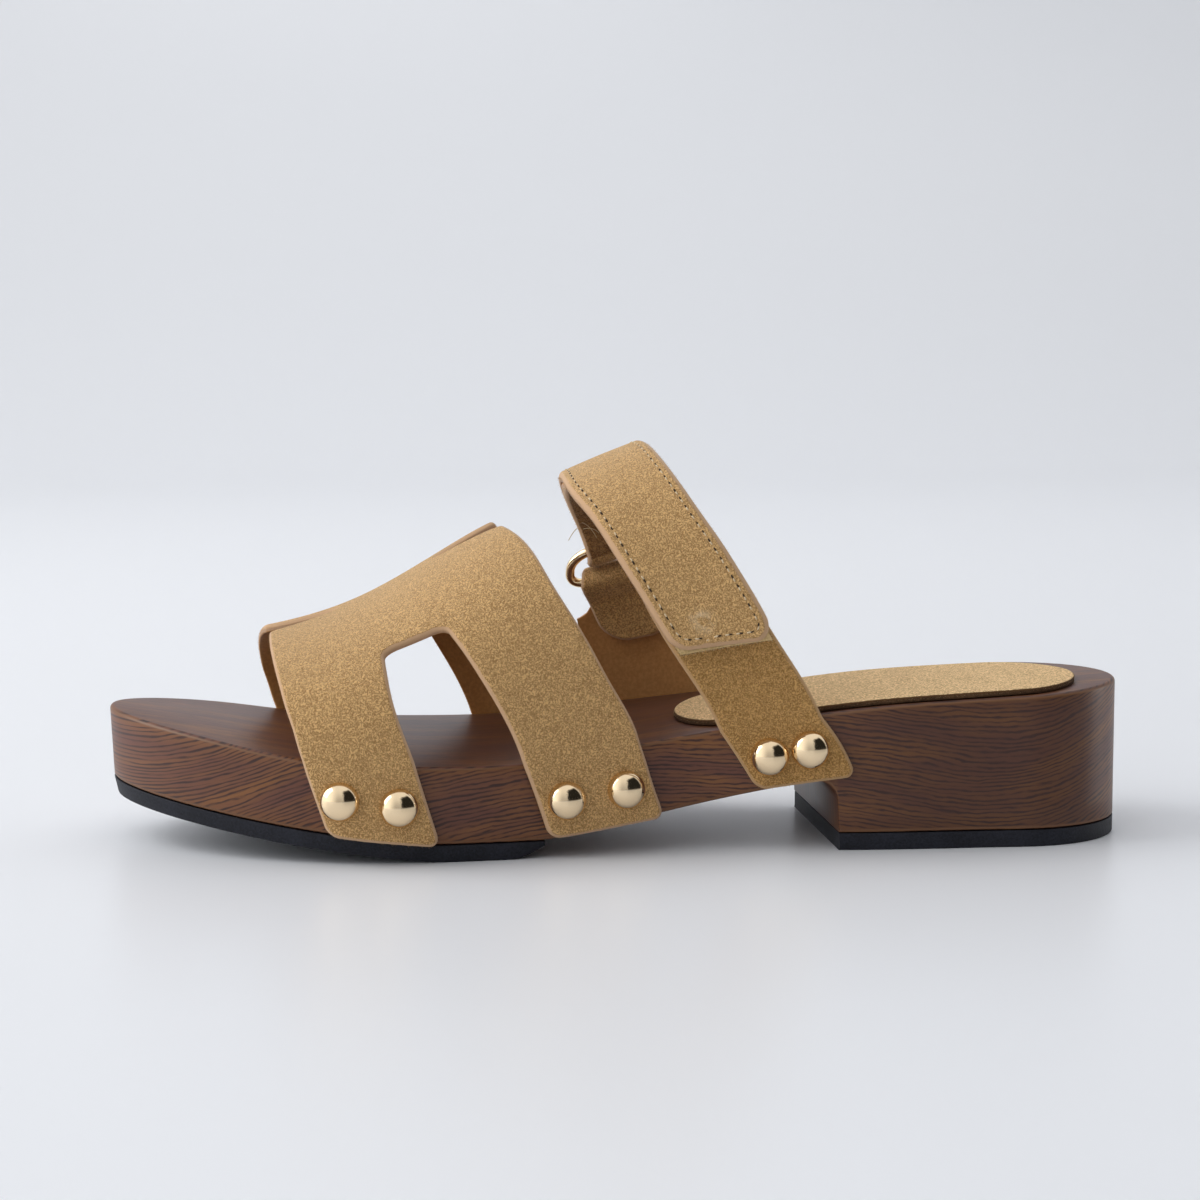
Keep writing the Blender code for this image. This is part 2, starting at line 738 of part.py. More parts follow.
def make_studs(material):
    band_studs = len(STUDS) - len(INNER_BASE_STUDS)
    for number, row in enumerate(STUDS):
        make_stud(f"stud_outer_{number + 1}", row["x"], row["around"], material)
        if number < band_studs:
            x = row["x"] - INNER_LEGS_FORWARD
        else:
            x = INNER_BASE_STUDS[number - band_studs]
        make_stud(f"stud_inner_{number + 1}", x, 180 - row["around"], material)


for old in list(bpy.data.objects):
    bpy.data.objects.remove(old, do_unlink=True)
sandal = bpy.data.objects.new("sandal", None)
bpy.context.scene.collection.objects.link(sandal)

wood = finish("wood", (0.075, 0.036, 0.024), 0.45)
rubber = finish("rubber", (0.012, 0.012, 0.016), 0.7)
suede = finish("suede", (0.40, 0.24, 0.10), 0.95)
pad_suede = finish("pad_suede", (0.46, 0.31, 0.16), 0.95)
tape = finish("tape", (0.45, 0.32, 0.16), 0.9)
gold = finish("gold", (0.83, 0.64, 0.38), 0.15, 1.0)

make_sole(wood)
make_outsoles(rubber)
make_pad(pad_suede)
make_band(suede)
make_outer_base(suede)
make_tape(tape)
make_flap(suede)
make_inner_base(suede)
make_ring(gold)
make_studs(gold)
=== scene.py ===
# %% [markdown]
# # A suede slide sandal
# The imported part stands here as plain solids: a wood-look sole with a low block heel, rubber under
# it, suede straps, a wire ring and domed studs. This lesson dresses them. Each step says what the
# piece is on the real shoe, how it could be made in Blender, and why it is made this way.

# %% Load the frame
import math
from collections import namedtuple

import bpy
import numpy as np
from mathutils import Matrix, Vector, kdtree
from mathutils.bvhtree import BVHTree


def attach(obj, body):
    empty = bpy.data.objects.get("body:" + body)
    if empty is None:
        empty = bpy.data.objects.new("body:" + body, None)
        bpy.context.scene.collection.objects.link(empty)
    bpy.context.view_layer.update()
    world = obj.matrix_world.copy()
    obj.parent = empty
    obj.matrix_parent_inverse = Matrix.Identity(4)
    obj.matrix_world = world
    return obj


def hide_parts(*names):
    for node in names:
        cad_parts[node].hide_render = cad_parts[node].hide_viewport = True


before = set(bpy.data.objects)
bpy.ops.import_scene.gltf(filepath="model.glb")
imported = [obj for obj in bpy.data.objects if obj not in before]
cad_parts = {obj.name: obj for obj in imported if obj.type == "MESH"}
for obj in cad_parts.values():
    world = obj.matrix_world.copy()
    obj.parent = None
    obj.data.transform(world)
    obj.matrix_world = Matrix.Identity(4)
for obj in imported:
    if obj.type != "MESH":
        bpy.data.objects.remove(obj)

MM = 0.001
scene = bpy.context.scene
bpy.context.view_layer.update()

# %% [markdown]
# ## Camera
# The photo was taken from the shoe's outer side with a long lens, a little in front of the middle and
# a little above the sole. Place and lens come from the shoe's own edges in the photo, so everything
# that is made later can be laid over it and compared.

# %% Camera
EYE = Vector((-82.43, -692.72, 132.01)) * MM
LOOK_AT = Vector((-3.4, -1.2, 57.5)) * MM
LENS = 84.0
SENSOR = 36.0

camera = bpy.data.objects.new("camera", bpy.data.cameras.new("camera"))
camera.location = EYE
camera.rotation_euler = (LOOK_AT - EYE).to_track_quat("-Z", "Y").to_euler()
camera.data.lens = LENS
camera.data.sensor_width = SENSOR
scene.collection.objects.link(camera)
scene.camera = camera
print("camera", round((LOOK_AT - EYE).length, 3), "m from the shoe")

# %% [markdown]
# ## Helpers for node trees
# Colours, streaks and light are all small trees of nodes. A few helpers keep the cells that build them
# short: one adds a node with its settings, others add the kinds that come back again and again, and
# the last two start a material.

# %% Node helpers


def add(tree, kind, inputs=None, **settings):
    """A node with its settings, and its inputs by name."""
    made = tree.nodes.new(kind)
    for name, value in settings.items():
        setattr(made, name, value)
    for name, value in (inputs or {}).items():
        made.inputs[name].default_value = value
    return made


def live_socket(sockets, name):
    """The socket of that name that is in use."""
    return [s for s in sockets if s.name == name and s.enabled][0]


def feed(tree, socket, value):
    """Links an output to a socket, or sets a number or a colour on it."""
    if isinstance(value, bpy.types.NodeSocket):
        tree.links.new(value, socket)
    elif isinstance(value, tuple):
        socket.default_value = (*value, 1.0)
    else:
        socket.default_value = value


def coordinates(tree, kind="Object"):
    return add(tree, "ShaderNodeTexCoord").outputs[kind]


def split_axes(tree, vector):
    """X, Y and Z of a vector, by name."""
    made = add(tree, "ShaderNodeSeparateXYZ")
    tree.links.new(vector, made.inputs["Vector"])
    return made.outputs


print("nodes can be added, fed and split")

# %% Helpers for values and colours


def noise(tree, place, scale, detail=2.0, roughness=0.5, distortion=0.0):
    made = add(tree, "ShaderNodeTexNoise", {
        "Scale": scale, "Detail": detail, "Roughness": roughness, "Distortion": distortion,
    })
    tree.links.new(place, made.inputs["Vector"])
    return made.outputs["Fac"]


def math_node(tree, operation, first, second=0.0):
    made = add(tree, "ShaderNodeMath", operation=operation)
    for socket, value in zip(made.inputs, (first, second)):
        feed(tree, socket, value)
    return made.outputs["Value"]


def blend(tree, first, second, share):
    """Share of the first value and the rest of the second."""
    kept = math_node(tree, "MULTIPLY", first, share)
    return math_node(tree, "ADD", kept, math_node(tree, "MULTIPLY", second, 1 - share))


def map_range(tree, value, low, high, to_low=0.0, to_high=1.0):
    made = add(tree, "ShaderNodeMapRange", {
        "From Min": low, "From Max": high, "To Min": to_low, "To Max": to_high,
    }, interpolation_type="SMOOTHSTEP")
    tree.links.new(value, made.inputs["Value"])
    return made.outputs["Result"]


def mix_colour(tree, factor, first, second):
    made = add(tree, "ShaderNodeMix", data_type="RGBA")
    for name, value in (("Factor", factor), ("A", first), ("B", second)):
        feed(tree, live_socket(made.inputs, name), value)
    return live_socket(made.outputs, "Result")


print("values can be scaled, blended and mixed")

# %% Helpers for materials


def new_finish(name, roughness, specular=0.5, sheen=0.0, sheen_tint=(1.0, 1.0, 1.0)):
    """Material with a Principled shader; what doesn't vary is set on the shader itself."""
    material = bpy.data.materials.new(name)
    material.use_nodes = True
    tree = material.node_tree
    shader = tree.nodes["Principled BSDF"]
    shader.inputs["Roughness"].default_value = roughness
    shader.inputs["Specular IOR Level"].default_value = specular
    shader.inputs["Sheen Weight"].default_value = sheen
    shader.inputs["Sheen Tint"].default_value = (*sheen_tint, 1.0)
    return material, tree, shader


def plain_finish(name, colour, roughness, metallic=0.0):
    """Material of one even colour."""
    material, _, shader = new_finish(name, roughness)
    shader.inputs["Base Color"].default_value = (*colour, 1.0)
    shader.inputs["Metallic"].default_value = metallic
    return material


print("materials can be started")

# %% [markdown]
# ## Floor and light
# The shoe stands on a pale sweep that rises behind it without an edge. A sweep is one strip of faces
# bent in a quarter circle. The light is a bright ceiling and a glow from the left, and the room to the
# right of the camera is dark: the polished studs mirror all three, so the sky is painted with them
# instead of being one even grey. A softbox at the left gives the soft shadow, a second light brightens
# the wall behind the shoe, and a small low one at the right reaches the back of the heel.

# %% Floor
# Metres; the shoe's own sizes further down are in millimetres.
FLOOR_FRONT = -2.2
FLOOR_BACK = 1.3
SWEEP_RADIUS = 0.7
SWEEP_HEIGHT = 2.4
FLOOR_HALF_WIDTH = 3.0
SWEEP_TONE = (0.80, 0.815, 0.845)
SWEEP_ROUGHNESS = 0.34
SWEEP_STEPS = 17


def make_sweep():
    profile = [(FLOOR_FRONT, 0.0), (FLOOR_BACK, 0.0)]
    for angle in np.linspace(0, math.pi / 2, SWEEP_STEPS)[1:]:
        y = FLOOR_BACK + SWEEP_RADIUS * math.sin(angle)
        profile.append((y, SWEEP_RADIUS * (1 - math.cos(angle))))
    profile.append((FLOOR_BACK + SWEEP_RADIUS, SWEEP_HEIGHT))
    points = [(x, y, z) for y, z in profile for x in (-FLOOR_HALF_WIDTH, FLOOR_HALF_WIDTH)]
    faces = [(2 * i, 2 * i + 1, 2 * i + 3, 2 * i + 2) for i in range(len(profile) - 1)]
    mesh = bpy.data.meshes.new("floor_sweep")
    mesh.from_pydata(points, [], faces)
    mesh.shade_smooth()
    mesh.materials.append(plain_finish("pale_sweep", SWEEP_TONE, SWEEP_ROUGHNESS))
    sweep = bpy.data.objects.new("floor_sweep", mesh)
    scene.collection.objects.link(sweep)
    print("floor sweep", len(faces), "faces")


make_sweep()

# %% Sky and lights
# Places and sizes in metres, power in watts.
HORIZON = (0.76, 0.77, 0.80)
ZENITH = (1.40, 1.41, 1.43)
LEFT_GLOW = (2.2, 2.22, 2.25)
DARK_ROOM = (0.03, 0.03, 0.028)
DARK_FROM = 0.14
DARK_SOFT = 0.08
DARK_RAGGED = 0.6
DARK_LIMITS = (("Z", 0.0, 0.04), ("Z", 0.88, 0.78), ("Y", 0.0, -0.15))
SKY_STRENGTH = 0.655

AreaLight = namedtuple("AreaLight", "name place target size power")
LIGHTS = (
    AreaLight("softbox", (-1.15, 0.1, 0.8), (0.0, 0.0, 0.05), 1.0, 8.5),
    AreaLight("wall_light", (0.0, 0.75, 1.5), (0.0, 2.0, 0.75), 1.0, 5.2),
    AreaLight("heel_light", (1.1, 0.15, 0.16), (0.1, 0.0, 0.03), 0.28, 1.2),
)

scene.view_settings.view_transform = "Standard"


def make_light(given):
    light = bpy.data.objects.new(given.name, bpy.data.lights.new(given.name, "AREA"))
    light.data.size = given.size
    light.data.energy = given.power
    light.visible_camera = False
    light.location = given.place
    aim = Vector(given.target) - Vector(given.place)
    light.rotation_euler = aim.to_track_quat("-Z", "Y").to_euler()
    scene.collection.objects.link(light)


def dark_room(tree, toward, axes):
    """1 where the room is unlit: right of the camera, from the horizon to near the ceiling."""
    ragged = math_node(tree, "SUBTRACT", noise(tree, toward, 9.0, 3.0), 0.5)
    shifted = math_node(tree, "ADD", axes["X"], math_node(tree, "MULTIPLY", ragged, DARK_RAGGED))
    mask = map_range(tree, shifted, DARK_FROM, DARK_FROM + DARK_SOFT)
    for axis, outside, inside in DARK_LIMITS:
        mask = math_node(tree, "MULTIPLY", mask, map_range(tree, axes[axis], outside, inside))
    return mask


def paint_sky():
    world = bpy.data.worlds.new("room")
    scene.world = world
    world.use_nodes = True
    tree = world.node_tree
    sky = tree.nodes["Background"]
    toward = coordinates(tree, "Generated")
    axes = split_axes(tree, toward)
    colour = mix_colour(tree, map_range(tree, axes["Z"], 0.0, 1.0), HORIZON, ZENITH)
    colour = mix_colour(tree, map_range(tree, axes["X"], -0.2, -1.0), colour, LEFT_GLOW)
    colour = mix_colour(tree, dark_room(tree, toward, axes), colour, DARK_ROOM)
    tree.links.new(colour, sky.inputs["Color"])
    sky.inputs["Strength"].default_value = SKY_STRENGTH


paint_sky()
for given in LIGHTS:
    make_light(given)
print("sky and", len(LIGHTS), "lights")

# %% [markdown]
# ## The shoe's own sizes
# Shoes are made over a last, a solid foot. Every strap follows that last, so the last is written as a
# function: for a place along the foot and an angle around it, it gives a point. The tables below hold
# the few sections that drive it, in millimetres, the toe at the left.

# %% Tables of the last, the sole and the straps
LENGTH = 250.0
HALF_WIDTH = 40.0
TOE_ROUND = 66.0
HEEL_ROUND = 29.0
GAP = 0.3


def table(columns, *rows):
    """A short table whose columns are read by name."""
    return np.array(list(rows), dtype=[(name, float) for name in columns.split()])


PLAN = table(
    "x mid outer inner",
    (-125, 4.4, 42.2, 35.6),
    (-95, 3.9, 44.9, 38.2),
    (-60, 0.8, 44.1, 41.2),
    (-25, 1.4, 41.9, 42.0),
    (15, 0.6, 35.4, 31.7),
    (55, -4.8, 33.6, 26.0),
    (95, -5.3, 33.7, 29.5),
    (125, -11.0, 30.2, 31.3),
)
TOP = table(
    "x z",
    (-125, 32.7),
    (-100, 28.6),
    (-75, 24.4),
    (-50, 22.9),
    (-25, 23.0),
    (0, 26.0),
    (25, 29.9),
    (60, 34.8),
    (95, 36.8),
    (125, 38.7),
)
CREST = table(
    "x y z",
    (-100, 6.5, 46.5),
    (-84.5, 5.8, 49.1),
    (-62, 4.8, 56.1),
    (-42, 3.8, 67.3),
    (-32, 3.3, 73.2),
    (-15, 2.0, 81.5),
    (0, 0.8, 88.2),
    (10, -0.8, 92.3),
    (30, -4.0, 102.0),
    (60, -7.0, 114.0),
)
BAND = table(
    "around front window_front window_rear rear",
    (-18, -72.2, -46.2, -20.3, 7.9),
    (-8, -75.4, -49.3, -23.5, 4.6),
    (2, -78.2, -52.3, -27.2, 1.2),
    (12, -79.8, -55.0, -31.6, -4.6),
    (22, -81.4, -56.8, -36.0, -9.5),
    (33, -82.7, -57.8, -40.2, -14.3),
    (43, -83.7, -58.3, -43.6, -18.0),
    (55, -84.6, -58.6, -46.5, -21.1),
    (68, -85.2, -59.5, -49.0, -24.3),
    (80, -85.3, -60.0, -51.5, -27.0),
    (90, -85.0, -60.3, -53.0, -28.3),
)
OUTER_BASE = table(
    "around front rear",
    (-16, 30.8, 54.4),
    (-8, 26.3, 50.9),
    (2, 20.1, 44.2),
    (12, 12.9, 36.3),
    (20, 7.9, 31.0),
    (46, -2.0, 17.0),
)
FLAP_EDGES = table(
    "around front rear",
    (12, 12.6, 36.1),
    (14, 11.4, 35.0),
    (19, 8.4, 32.3),
    (28, 3.6, 27.3),
    (36, -0.1, 23.3),
    (45, -3.5, 19.2),
    (57, -7.0, 15.1),
    (69, -9.9, 12.2),
    (90, -10.9, 9.7),
    (112, -9.7, 9.4),
    (126, -6.8, 10.4),
    (138, -3.4, 12.3),
)
INNER_BASE = table(
    "around front rear",
    (195, 9.5, 41.5),
    (180, 3.0, 34.5),
    (172, -1.2, 28.8),
    (164, -4.4, 23.4),
    (160, -5.3, 20.7),
)
TAB = table(
    "around front rear",
    (144, -5.9, 10.6),
    (151, -3.7, 13.1),
    (158, -1.4, 16.2),
    (168, 3.0, 20.2),
)
PAD_PLAN = table(
    "x outer inner",
    (14.5, -28.0, 9.0),
    (30, -32.0, 12.0),
    (50, -35.6, 12.5),
    (75, -37.6, 13.0),
    (95, -37.0, 12.5),
    (114, -35.5, 9.0),
)
STUDS = table(
    "x around",
    (-69.2, -8.3),
    (-55.8, -9.2),
    (-16.3, -9.7),
    (-1.7, -9.8),
    (33.6, -8.1),
    (43.3, -7.9),
)
print("tables:", len(PLAN), "sole sections,", len(CREST), "ridge points,", len(STUDS), "studs a side")

# %% [markdown]
# ## The last as a function
# A spline runs through each table. Across the foot, a section is a squashed ellipse from the sole's
# edge up to the ridge and down to the other edge; past the edges it drops down the sole's sides. The
# angle called "around" is 0 at the outer edge, 90 on the ridge and 180 at the inner edge.

# %% Splines


def smooth(xs, ys):
    """Natural cubic spline through the rows of a table."""
    order = np.argsort(xs)
    xs, ys = np.asarray(xs)[order], np.asarray(ys)[order]
    step = np.diff(xs)
    slope = np.diff(ys) / step
    count = len(xs)
    matrix = np.eye(count)
    right = np.zeros(count)
    for i in range(1, count - 1):
        matrix[i, i - 1:i + 2] = step[i - 1], 2 * (step[i - 1] + step[i]), step[i]
        right[i] = 6 * (slope[i] - slope[i - 1])
    bend = np.linalg.solve(matrix, right)

    def value(x):
        i = np.clip(np.searchsorted(xs, x) - 1, 0, count - 2)
        t = x - xs[i]
        first = slope[i] - step[i] * (2 * bend[i] + bend[i + 1]) / 6
        return ys[i] + first * t + bend[i] * t**2 / 2 + (bend[i + 1] - bend[i]) * t**3 / (6 * step[i])

    return value


def lines(rows, along, *names):
    """Splines through the named columns of a table, over the column they run along."""
    return [smooth(rows[along], rows[name]) for name in names]


plan_mid, plan_outer, plan_inner = lines(PLAN, "x", "mid", "outer", "inner")
top_height = smooth(TOP["x"], TOP["z"])
crest_y, crest_z = lines(CREST, "x", "y", "z")
print("ridge over the instep", round(float(crest_z(0.0)), 1), "mm above the floor")

# %% The last
SECTION_POWER = 2.25


def round_end(distance, length):
    """Share of the full width that is left at a distance from a rounded end."""
    return np.sqrt(np.clip(1 - (1 - np.clip(distance / length, 0, 1)) ** 2, 0, 1))


def end_share(x):
    return round_end(x + LENGTH / 2, TOE_ROUND) * round_end(LENGTH / 2 - x, HEEL_ROUND)


def outer_side(x):
    return plan_mid(x) - plan_outer(x) * end_share(x)


def inner_side(x):
    return plan_mid(x) + plan_inner(x) * end_share(x)


def last_point(x, around):
    edge = top_height(x)
    angle = np.radians(np.clip(around, 0, 180))
    side = np.where(around < 90, outer_side(x), inner_side(x))
    y = crest_y(x) + (side - crest_y(x)) * np.abs(np.cos(angle)) ** (2 / SECTION_POWER)
    z = edge + (crest_z(x) - edge) * np.abs(np.sin(angle)) ** (2 / SECTION_POWER)
    z = z + np.minimum(around, 0) + np.minimum(180 - around, 0)
    return np.stack([x + 0 * z, y, z], axis=-1)


def last_frame(x, around):
    """Point, tangent towards the inner side, and outward normal of the last."""
    x, around = np.asarray(x, float), np.asarray(around, float)
    delta = 0.05
    point = last_point(x, around)
    along = last_point(x + delta, around) - last_point(x - delta, around)
    across = last_point(x, around + delta) - last_point(x, around - delta)
    normal = np.cross(along, across)
    normal /= np.linalg.norm(normal, axis=-1, keepdims=True)
    across /= np.linalg.norm(across, axis=-1, keepdims=True)
    return point, across, normal


def on_last(x, around, offset):
    point, _, normal = last_frame(x, around)
    return point + normal * np.asarray(offset)[..., None]


def ease(share):
    """Soft step from 0 to 1."""
    share = np.clip(share, 0, 1)
    return share * share * (3 - 2 * share)


print("last under the instep:", [last_point(0.0, around).round(1).tolist() for around in (0.0, 90.0, 180.0)])

# %% [markdown]
# ## Finishes: shared effects
# Suede is leather brushed until its fibres stand up. It has no gloss; what shows is a pebble of light
# tufts with thin dark creases between them, well under a millimetre apart. Where a noise passes through
# its middle value it draws just such winding lines, so its distance from that value is the tufts'
# height. The colour follows that height as well, so the creases are darkened partly as the nap's own tone
# and partly as painted shade. Both the straps and the heel pad have it, so it is one node group that puts
# out a colour and a height, and each material gives it its own two tones. A second group makes the fine
# speckle of lining and rubber.

# %% Shared groups


def tone_group(name):
    """Group that takes two tones and a size in millimetres, and gives a colour and a height.

    It comes with the group's inputs, the place on the piece, and that place counted in sizes.
    """
    group = bpy.data.node_groups.new(name, "ShaderNodeTree")
    for label, kind in (("Light", "Color"), ("Dark", "Color"), ("Size", "Float")):
        group.interface.new_socket(label, in_out="INPUT", socket_type="NodeSocket" + kind)
    for label, kind in (("Colour", "Color"), ("Height", "Float")):
        group.interface.new_socket(label, in_out="OUTPUT", socket_type="NodeSocket" + kind)
    given = group.nodes.new("NodeGroupInput").outputs
    place = coordinates(group)
    scaled = add(group, "ShaderNodeVectorMath", operation="SCALE")
    group.links.new(place, scaled.inputs[0])
    group.links.new(math_node(group, "DIVIDE", 1 / MM, given["Size"]), scaled.inputs["Scale"])
    return group, given, place, scaled.outputs["Vector"]


def give_tones(group, given, share, height):
    """Ends a tone group: a share of its light tone in its dark one, and the height."""
    result = group.nodes.new("NodeGroupOutput")
    colour = mix_colour(group, share, given["Dark"], given["Light"])
    group.links.new(colour, result.inputs["Colour"])
    group.links.new(height, result.inputs["Height"])
    return group


def suede_group():
    group, given, place, by_size = tone_group("suede_nap")
    wound = noise(group, by_size, 1.0, 1.0, 0.5, 0.4)
    off_middle = math_node(group, "ABSOLUTE", math_node(group, "SUBTRACT", wound, 0.5))
    tufts = map_range(group, off_middle, -0.02, 0.17)
    fibres = noise(group, by_size, 2.2, 2.0, 0.6, 0.6)
    clouds = noise(group, place, 75.0, 2.0, 0.5, 0.3)
    # The tone follows the height, so the creases get painted shade on top of the nap's own mottle.
    height = blend(group, tufts, fibres, 0.6)
    share = map_range(group, blend(group, height, clouds, 0.92), 0.16, 0.74)
    return give_tones(group, given, share, height)


def speckle_group():
    group, given, place, by_size = tone_group("fine_speckle")
    grains = noise(group, by_size, 1.0, 2.0, 0.6)
    clouds = noise(group, place, 90.0, 3.0, 0.55, 0.2)
    share = map_range(group, blend(group, grains, clouds, 0.6), 0.34, 0.68)
    return give_tones(group, given, share, grains)


NAP_AND_CREASE_SHADE = suede_group()
FINE_SPECKLE = speckle_group()
print("groups:", NAP_AND_CREASE_SHADE.name, FINE_SPECKLE.name)

# %% [markdown]
# ## Finishes: suede, lining and cut edge
# A strap has three faces: brushed suede outside, a smooth brown lining inside, and between them the
# cut edge, rolled over and painted a smooth pinkish tan. Each vertex of a strap carries how far in it
# lies, as a share of the edge's roll, so the suede can run out into the paint a little unevenly, which
# a hard border between two materials could not do. A strap that turns inside shows a browner suede
# there, darkened further with painted shade. The instep's outer base is darkened with painted shade,
# and the flap has a spot near its end where the nap is rubbed pale.

# %% Parts of a finish
EDGE_MARK = "edge_share"
SCUFF_REACH = 4.6


def toned(tree, group, light, dark, size):
    """Outputs of a tone group that is put in a material with its two tones and its size."""
    made = add(tree, "ShaderNodeGroup", node_tree=group)
    for name, value in (("Light", light), ("Dark", dark), ("Size", size)):
        feed(tree, made.inputs[name], value)
    return made.outputs


def bump(tree, height, shader, strength, distance):
    made = add(tree, "ShaderNodeBump", {"Strength": strength, "Distance": distance * MM})
    tree.links.new(height, made.inputs["Height"])
    tree.links.new(made.outputs["Normal"], shader.inputs["Normal"])


def edge_mask(tree, reach):
    """1 on the rolled edge, turning to 0 along a wavering line some way in."""
    mark = add(tree, "ShaderNodeAttribute", attribute_name=EDGE_MARK)
    waver = math_node(tree, "MULTIPLY", noise(tree, coordinates(tree), 900.0), 0.4)
    shifted = math_node(tree, "ADD", mark.outputs["Fac"], waver)
    return map_range(tree, shifted, reach + 0.3, reach + 0.1)


def scuff_mask(tree, centre):
    """Ragged soft spot round a place where the nap is rubbed pale."""
    place = coordinates(tree)
    away = add(tree, "ShaderNodeVectorMath", {1: centre * MM}, operation="DISTANCE")
    tree.links.new(place, away.inputs[0])
    spot = map_range(tree, away.outputs["Value"], SCUFF_REACH * MM, 0.0)
    return math_node(tree, "MULTIPLY", spot, map_range(tree, noise(tree, place, 500.0), 0.3, 0.8))


print("a finish can have tones, a bump, a painted edge and a scuff")

# %% Suede, lining and cut edge
PAINTED_EDGE = (0.54, 0.34, 0.195)
SCUFF = (0.86, 0.66, 0.42)
SCUFF_PLACE = Vector((16.6, -38.6, 56.0))
TUFT = 0.56
INSIDE_TUFT = 0.62
SUEDE_TONES = (0.70, 0.435, 0.185), (0.315, 0.175, 0.063)
# The outer base's suede tones, darkened with painted shade.
SHADED_BASE_TONES = (0.56, 0.32, 0.111), (0.25, 0.13, 0.038)
BASE_EDGE = (0.46, 0.275, 0.125)
EDGE_TONES = (0.54, 0.335, 0.195), (0.45, 0.27, 0.155)
LINING_TONES = (0.54, 0.27, 0.09), (0.41, 0.20, 0.062)
# Turned-in suede: browner than the outside, and darker still with painted shade.
INSIDE_BROWN_SHADE_TONES = (0.345, 0.184, 0.069), (0.145, 0.071, 0.025)
SHEEN_TINT = (1.0, 0.86, 0.70)


def suede_finish(name, light, dark, tuft, edge=PAINTED_EDGE, edge_reach=0.6, sheen=0.4, scuff=None):
    material, tree, shader = new_finish(name, 0.95, 0.12, sheen, SHEEN_TINT)
    nap = toned(tree, NAP_AND_CREASE_SHADE, light, dark, tuft)
    painted = edge_mask(tree, edge_reach)
    colour = nap["Colour"]
    if scuff is not None:
        colour = mix_colour(tree, scuff_mask(tree, scuff), colour, SCUFF)
    tree.links.new(mix_colour(tree, painted, colour, edge), shader.inputs["Base Color"])
    brushed = math_node(tree, "SUBTRACT", 1.0, painted)
    bump(tree, math_node(tree, "MULTIPLY", nap["Height"], brushed), shader, 0.7, 0.34)
    return material


def speckled_finish(name, light, dark, grain, roughness, specular, depth):
    material, tree, shader = new_finish(name, roughness, specular)
    speckle = toned(tree, FINE_SPECKLE, light, dark, grain)
    tree.links.new(speckle["Colour"], shader.inputs["Base Color"])
    bump(tree, speckle["Height"], shader, 0.4, depth)
    return material


SUEDE = suede_finish("tan_suede", *SUEDE_TONES, TUFT)
FLAP_SUEDE = suede_finish("flap_suede", *SUEDE_TONES, TUFT, scuff=SCUFF_PLACE)
# Outer base suede, whose darker tones are painted shade.
SHADED_BASE_SUEDE = suede_finish("base_suede", *SHADED_BASE_TONES, TUFT, BASE_EDGE)
EDGE = speckled_finish("painted_edge", *EDGE_TONES, grain=0.5, roughness=0.6, specular=0.3, depth=0.05)
LINING = speckled_finish("brown_lining", *LINING_TONES, grain=0.8, roughness=0.6, specular=0.35, depth=0.05)
# Suede of the turned-in faces, partly brown and partly painted shade.
INSIDE = suede_finish("brown_inside", *INSIDE_BROWN_SHADE_TONES, INSIDE_TUFT)
WALL_FINISHES = (SUEDE, EDGE, LINING, INSIDE)
print("strap finishes:", [m.name for m in WALL_FINISHES])

# %% [markdown]
# ## Straps as walls with rolled edges
# A strap could be a sheet with Solidify and Bevel modifiers. Here it is built directly as two grids of
# points, its outer and its inner face, joined round the border. Near the border the outer face sinks in
# a quarter circle, which is how cut suede rolls over, and dents or seams can be pressed into the
# outer face alone. The grid's lines lie close together near edges, where the shape changes most.

# %% Shell of faces


class Shell:
    """Collects faces by their points; equal points become one vertex, collapsed faces are left out."""

    def __init__(self):
        self.index = {}
        self.points = []
        self.marks = []
        self.faces = []
        self.slots = []
        self.corners = []

    def vertex(self, point, mark):
        key = tuple(round(float(value), 4) for value in point)
        if key not in self.index:
            self.index[key] = len(self.points)
            self.points.append(point)
            self.marks.append(mark)
        return self.index[key]

    def face(self, slot, points, marks=None, corners=None):
        marks = marks or [0.0] * len(points)
        corners = corners or [(0.0, 0.0)] * len(points)
        ring, kept = [], []
        for point, mark, corner in zip(points, marks, corners):
            number = self.vertex(point, mark)
            if number not in ring:
                ring.append(number)
                kept.append(corner)
        if len(ring) > 2:
            self.faces.append(ring)
            self.slots.append(slot)
            self.corners += kept

    def make(self, name, materials, sharp_angle=None, map_name=None):
        mesh = bpy.data.meshes.new(name)
        mesh.from_pydata((np.array(self.points) * MM).tolist(), [], self.faces)
        for material in materials:
            mesh.materials.append(material)
        mesh.polygons.foreach_set("material_index", self.slots)
        mark = mesh.attributes.new(EDGE_MARK, "FLOAT", "POINT")
        mark.data.foreach_set("value", np.array(self.marks, np.float32))
        if map_name:
            layer = mesh.uv_layers.new(name=map_name)
            layer.data.foreach_set("uv", np.array(self.corners, np.float32).ravel())
        mesh.shade_smooth()
        if sharp_angle:
            mesh.set_sharp_from_angle(angle=math.radians(sharp_angle))
        mesh.update()
        made = bpy.data.objects.new(name, mesh)
        scene.collection.objects.link(made)
        return made


print("faces are collected by their points")

# %% Wall builder
OUTER_ROLL = 1.1
INNER_ROLL = 0.3
BORDER_STEP = 0.25

Wall = namedtuple("Wall", "piece outside middle border")


def border_of(keep):
    """Border edges of the kept cells, as pairs of grid places, each with the kept cell beside it."""
    padded = np.pad(keep, 1)
    found = []
    for i, j in zip(*np.nonzero(keep)):
        a, b, c, d = (i, j), (i, j + 1), (i + 1, j + 1), (i + 1, j)
        for kept, start, end in (
            (padded[i, j + 1], a, b),
            (padded[i + 1, j + 2], b, c),
            (padded[i + 2, j + 1], c, d),
            (padded[i + 1, j], d, a),
        ):
            if not kept:
                found.append((start, end, (i, j)))
    return found


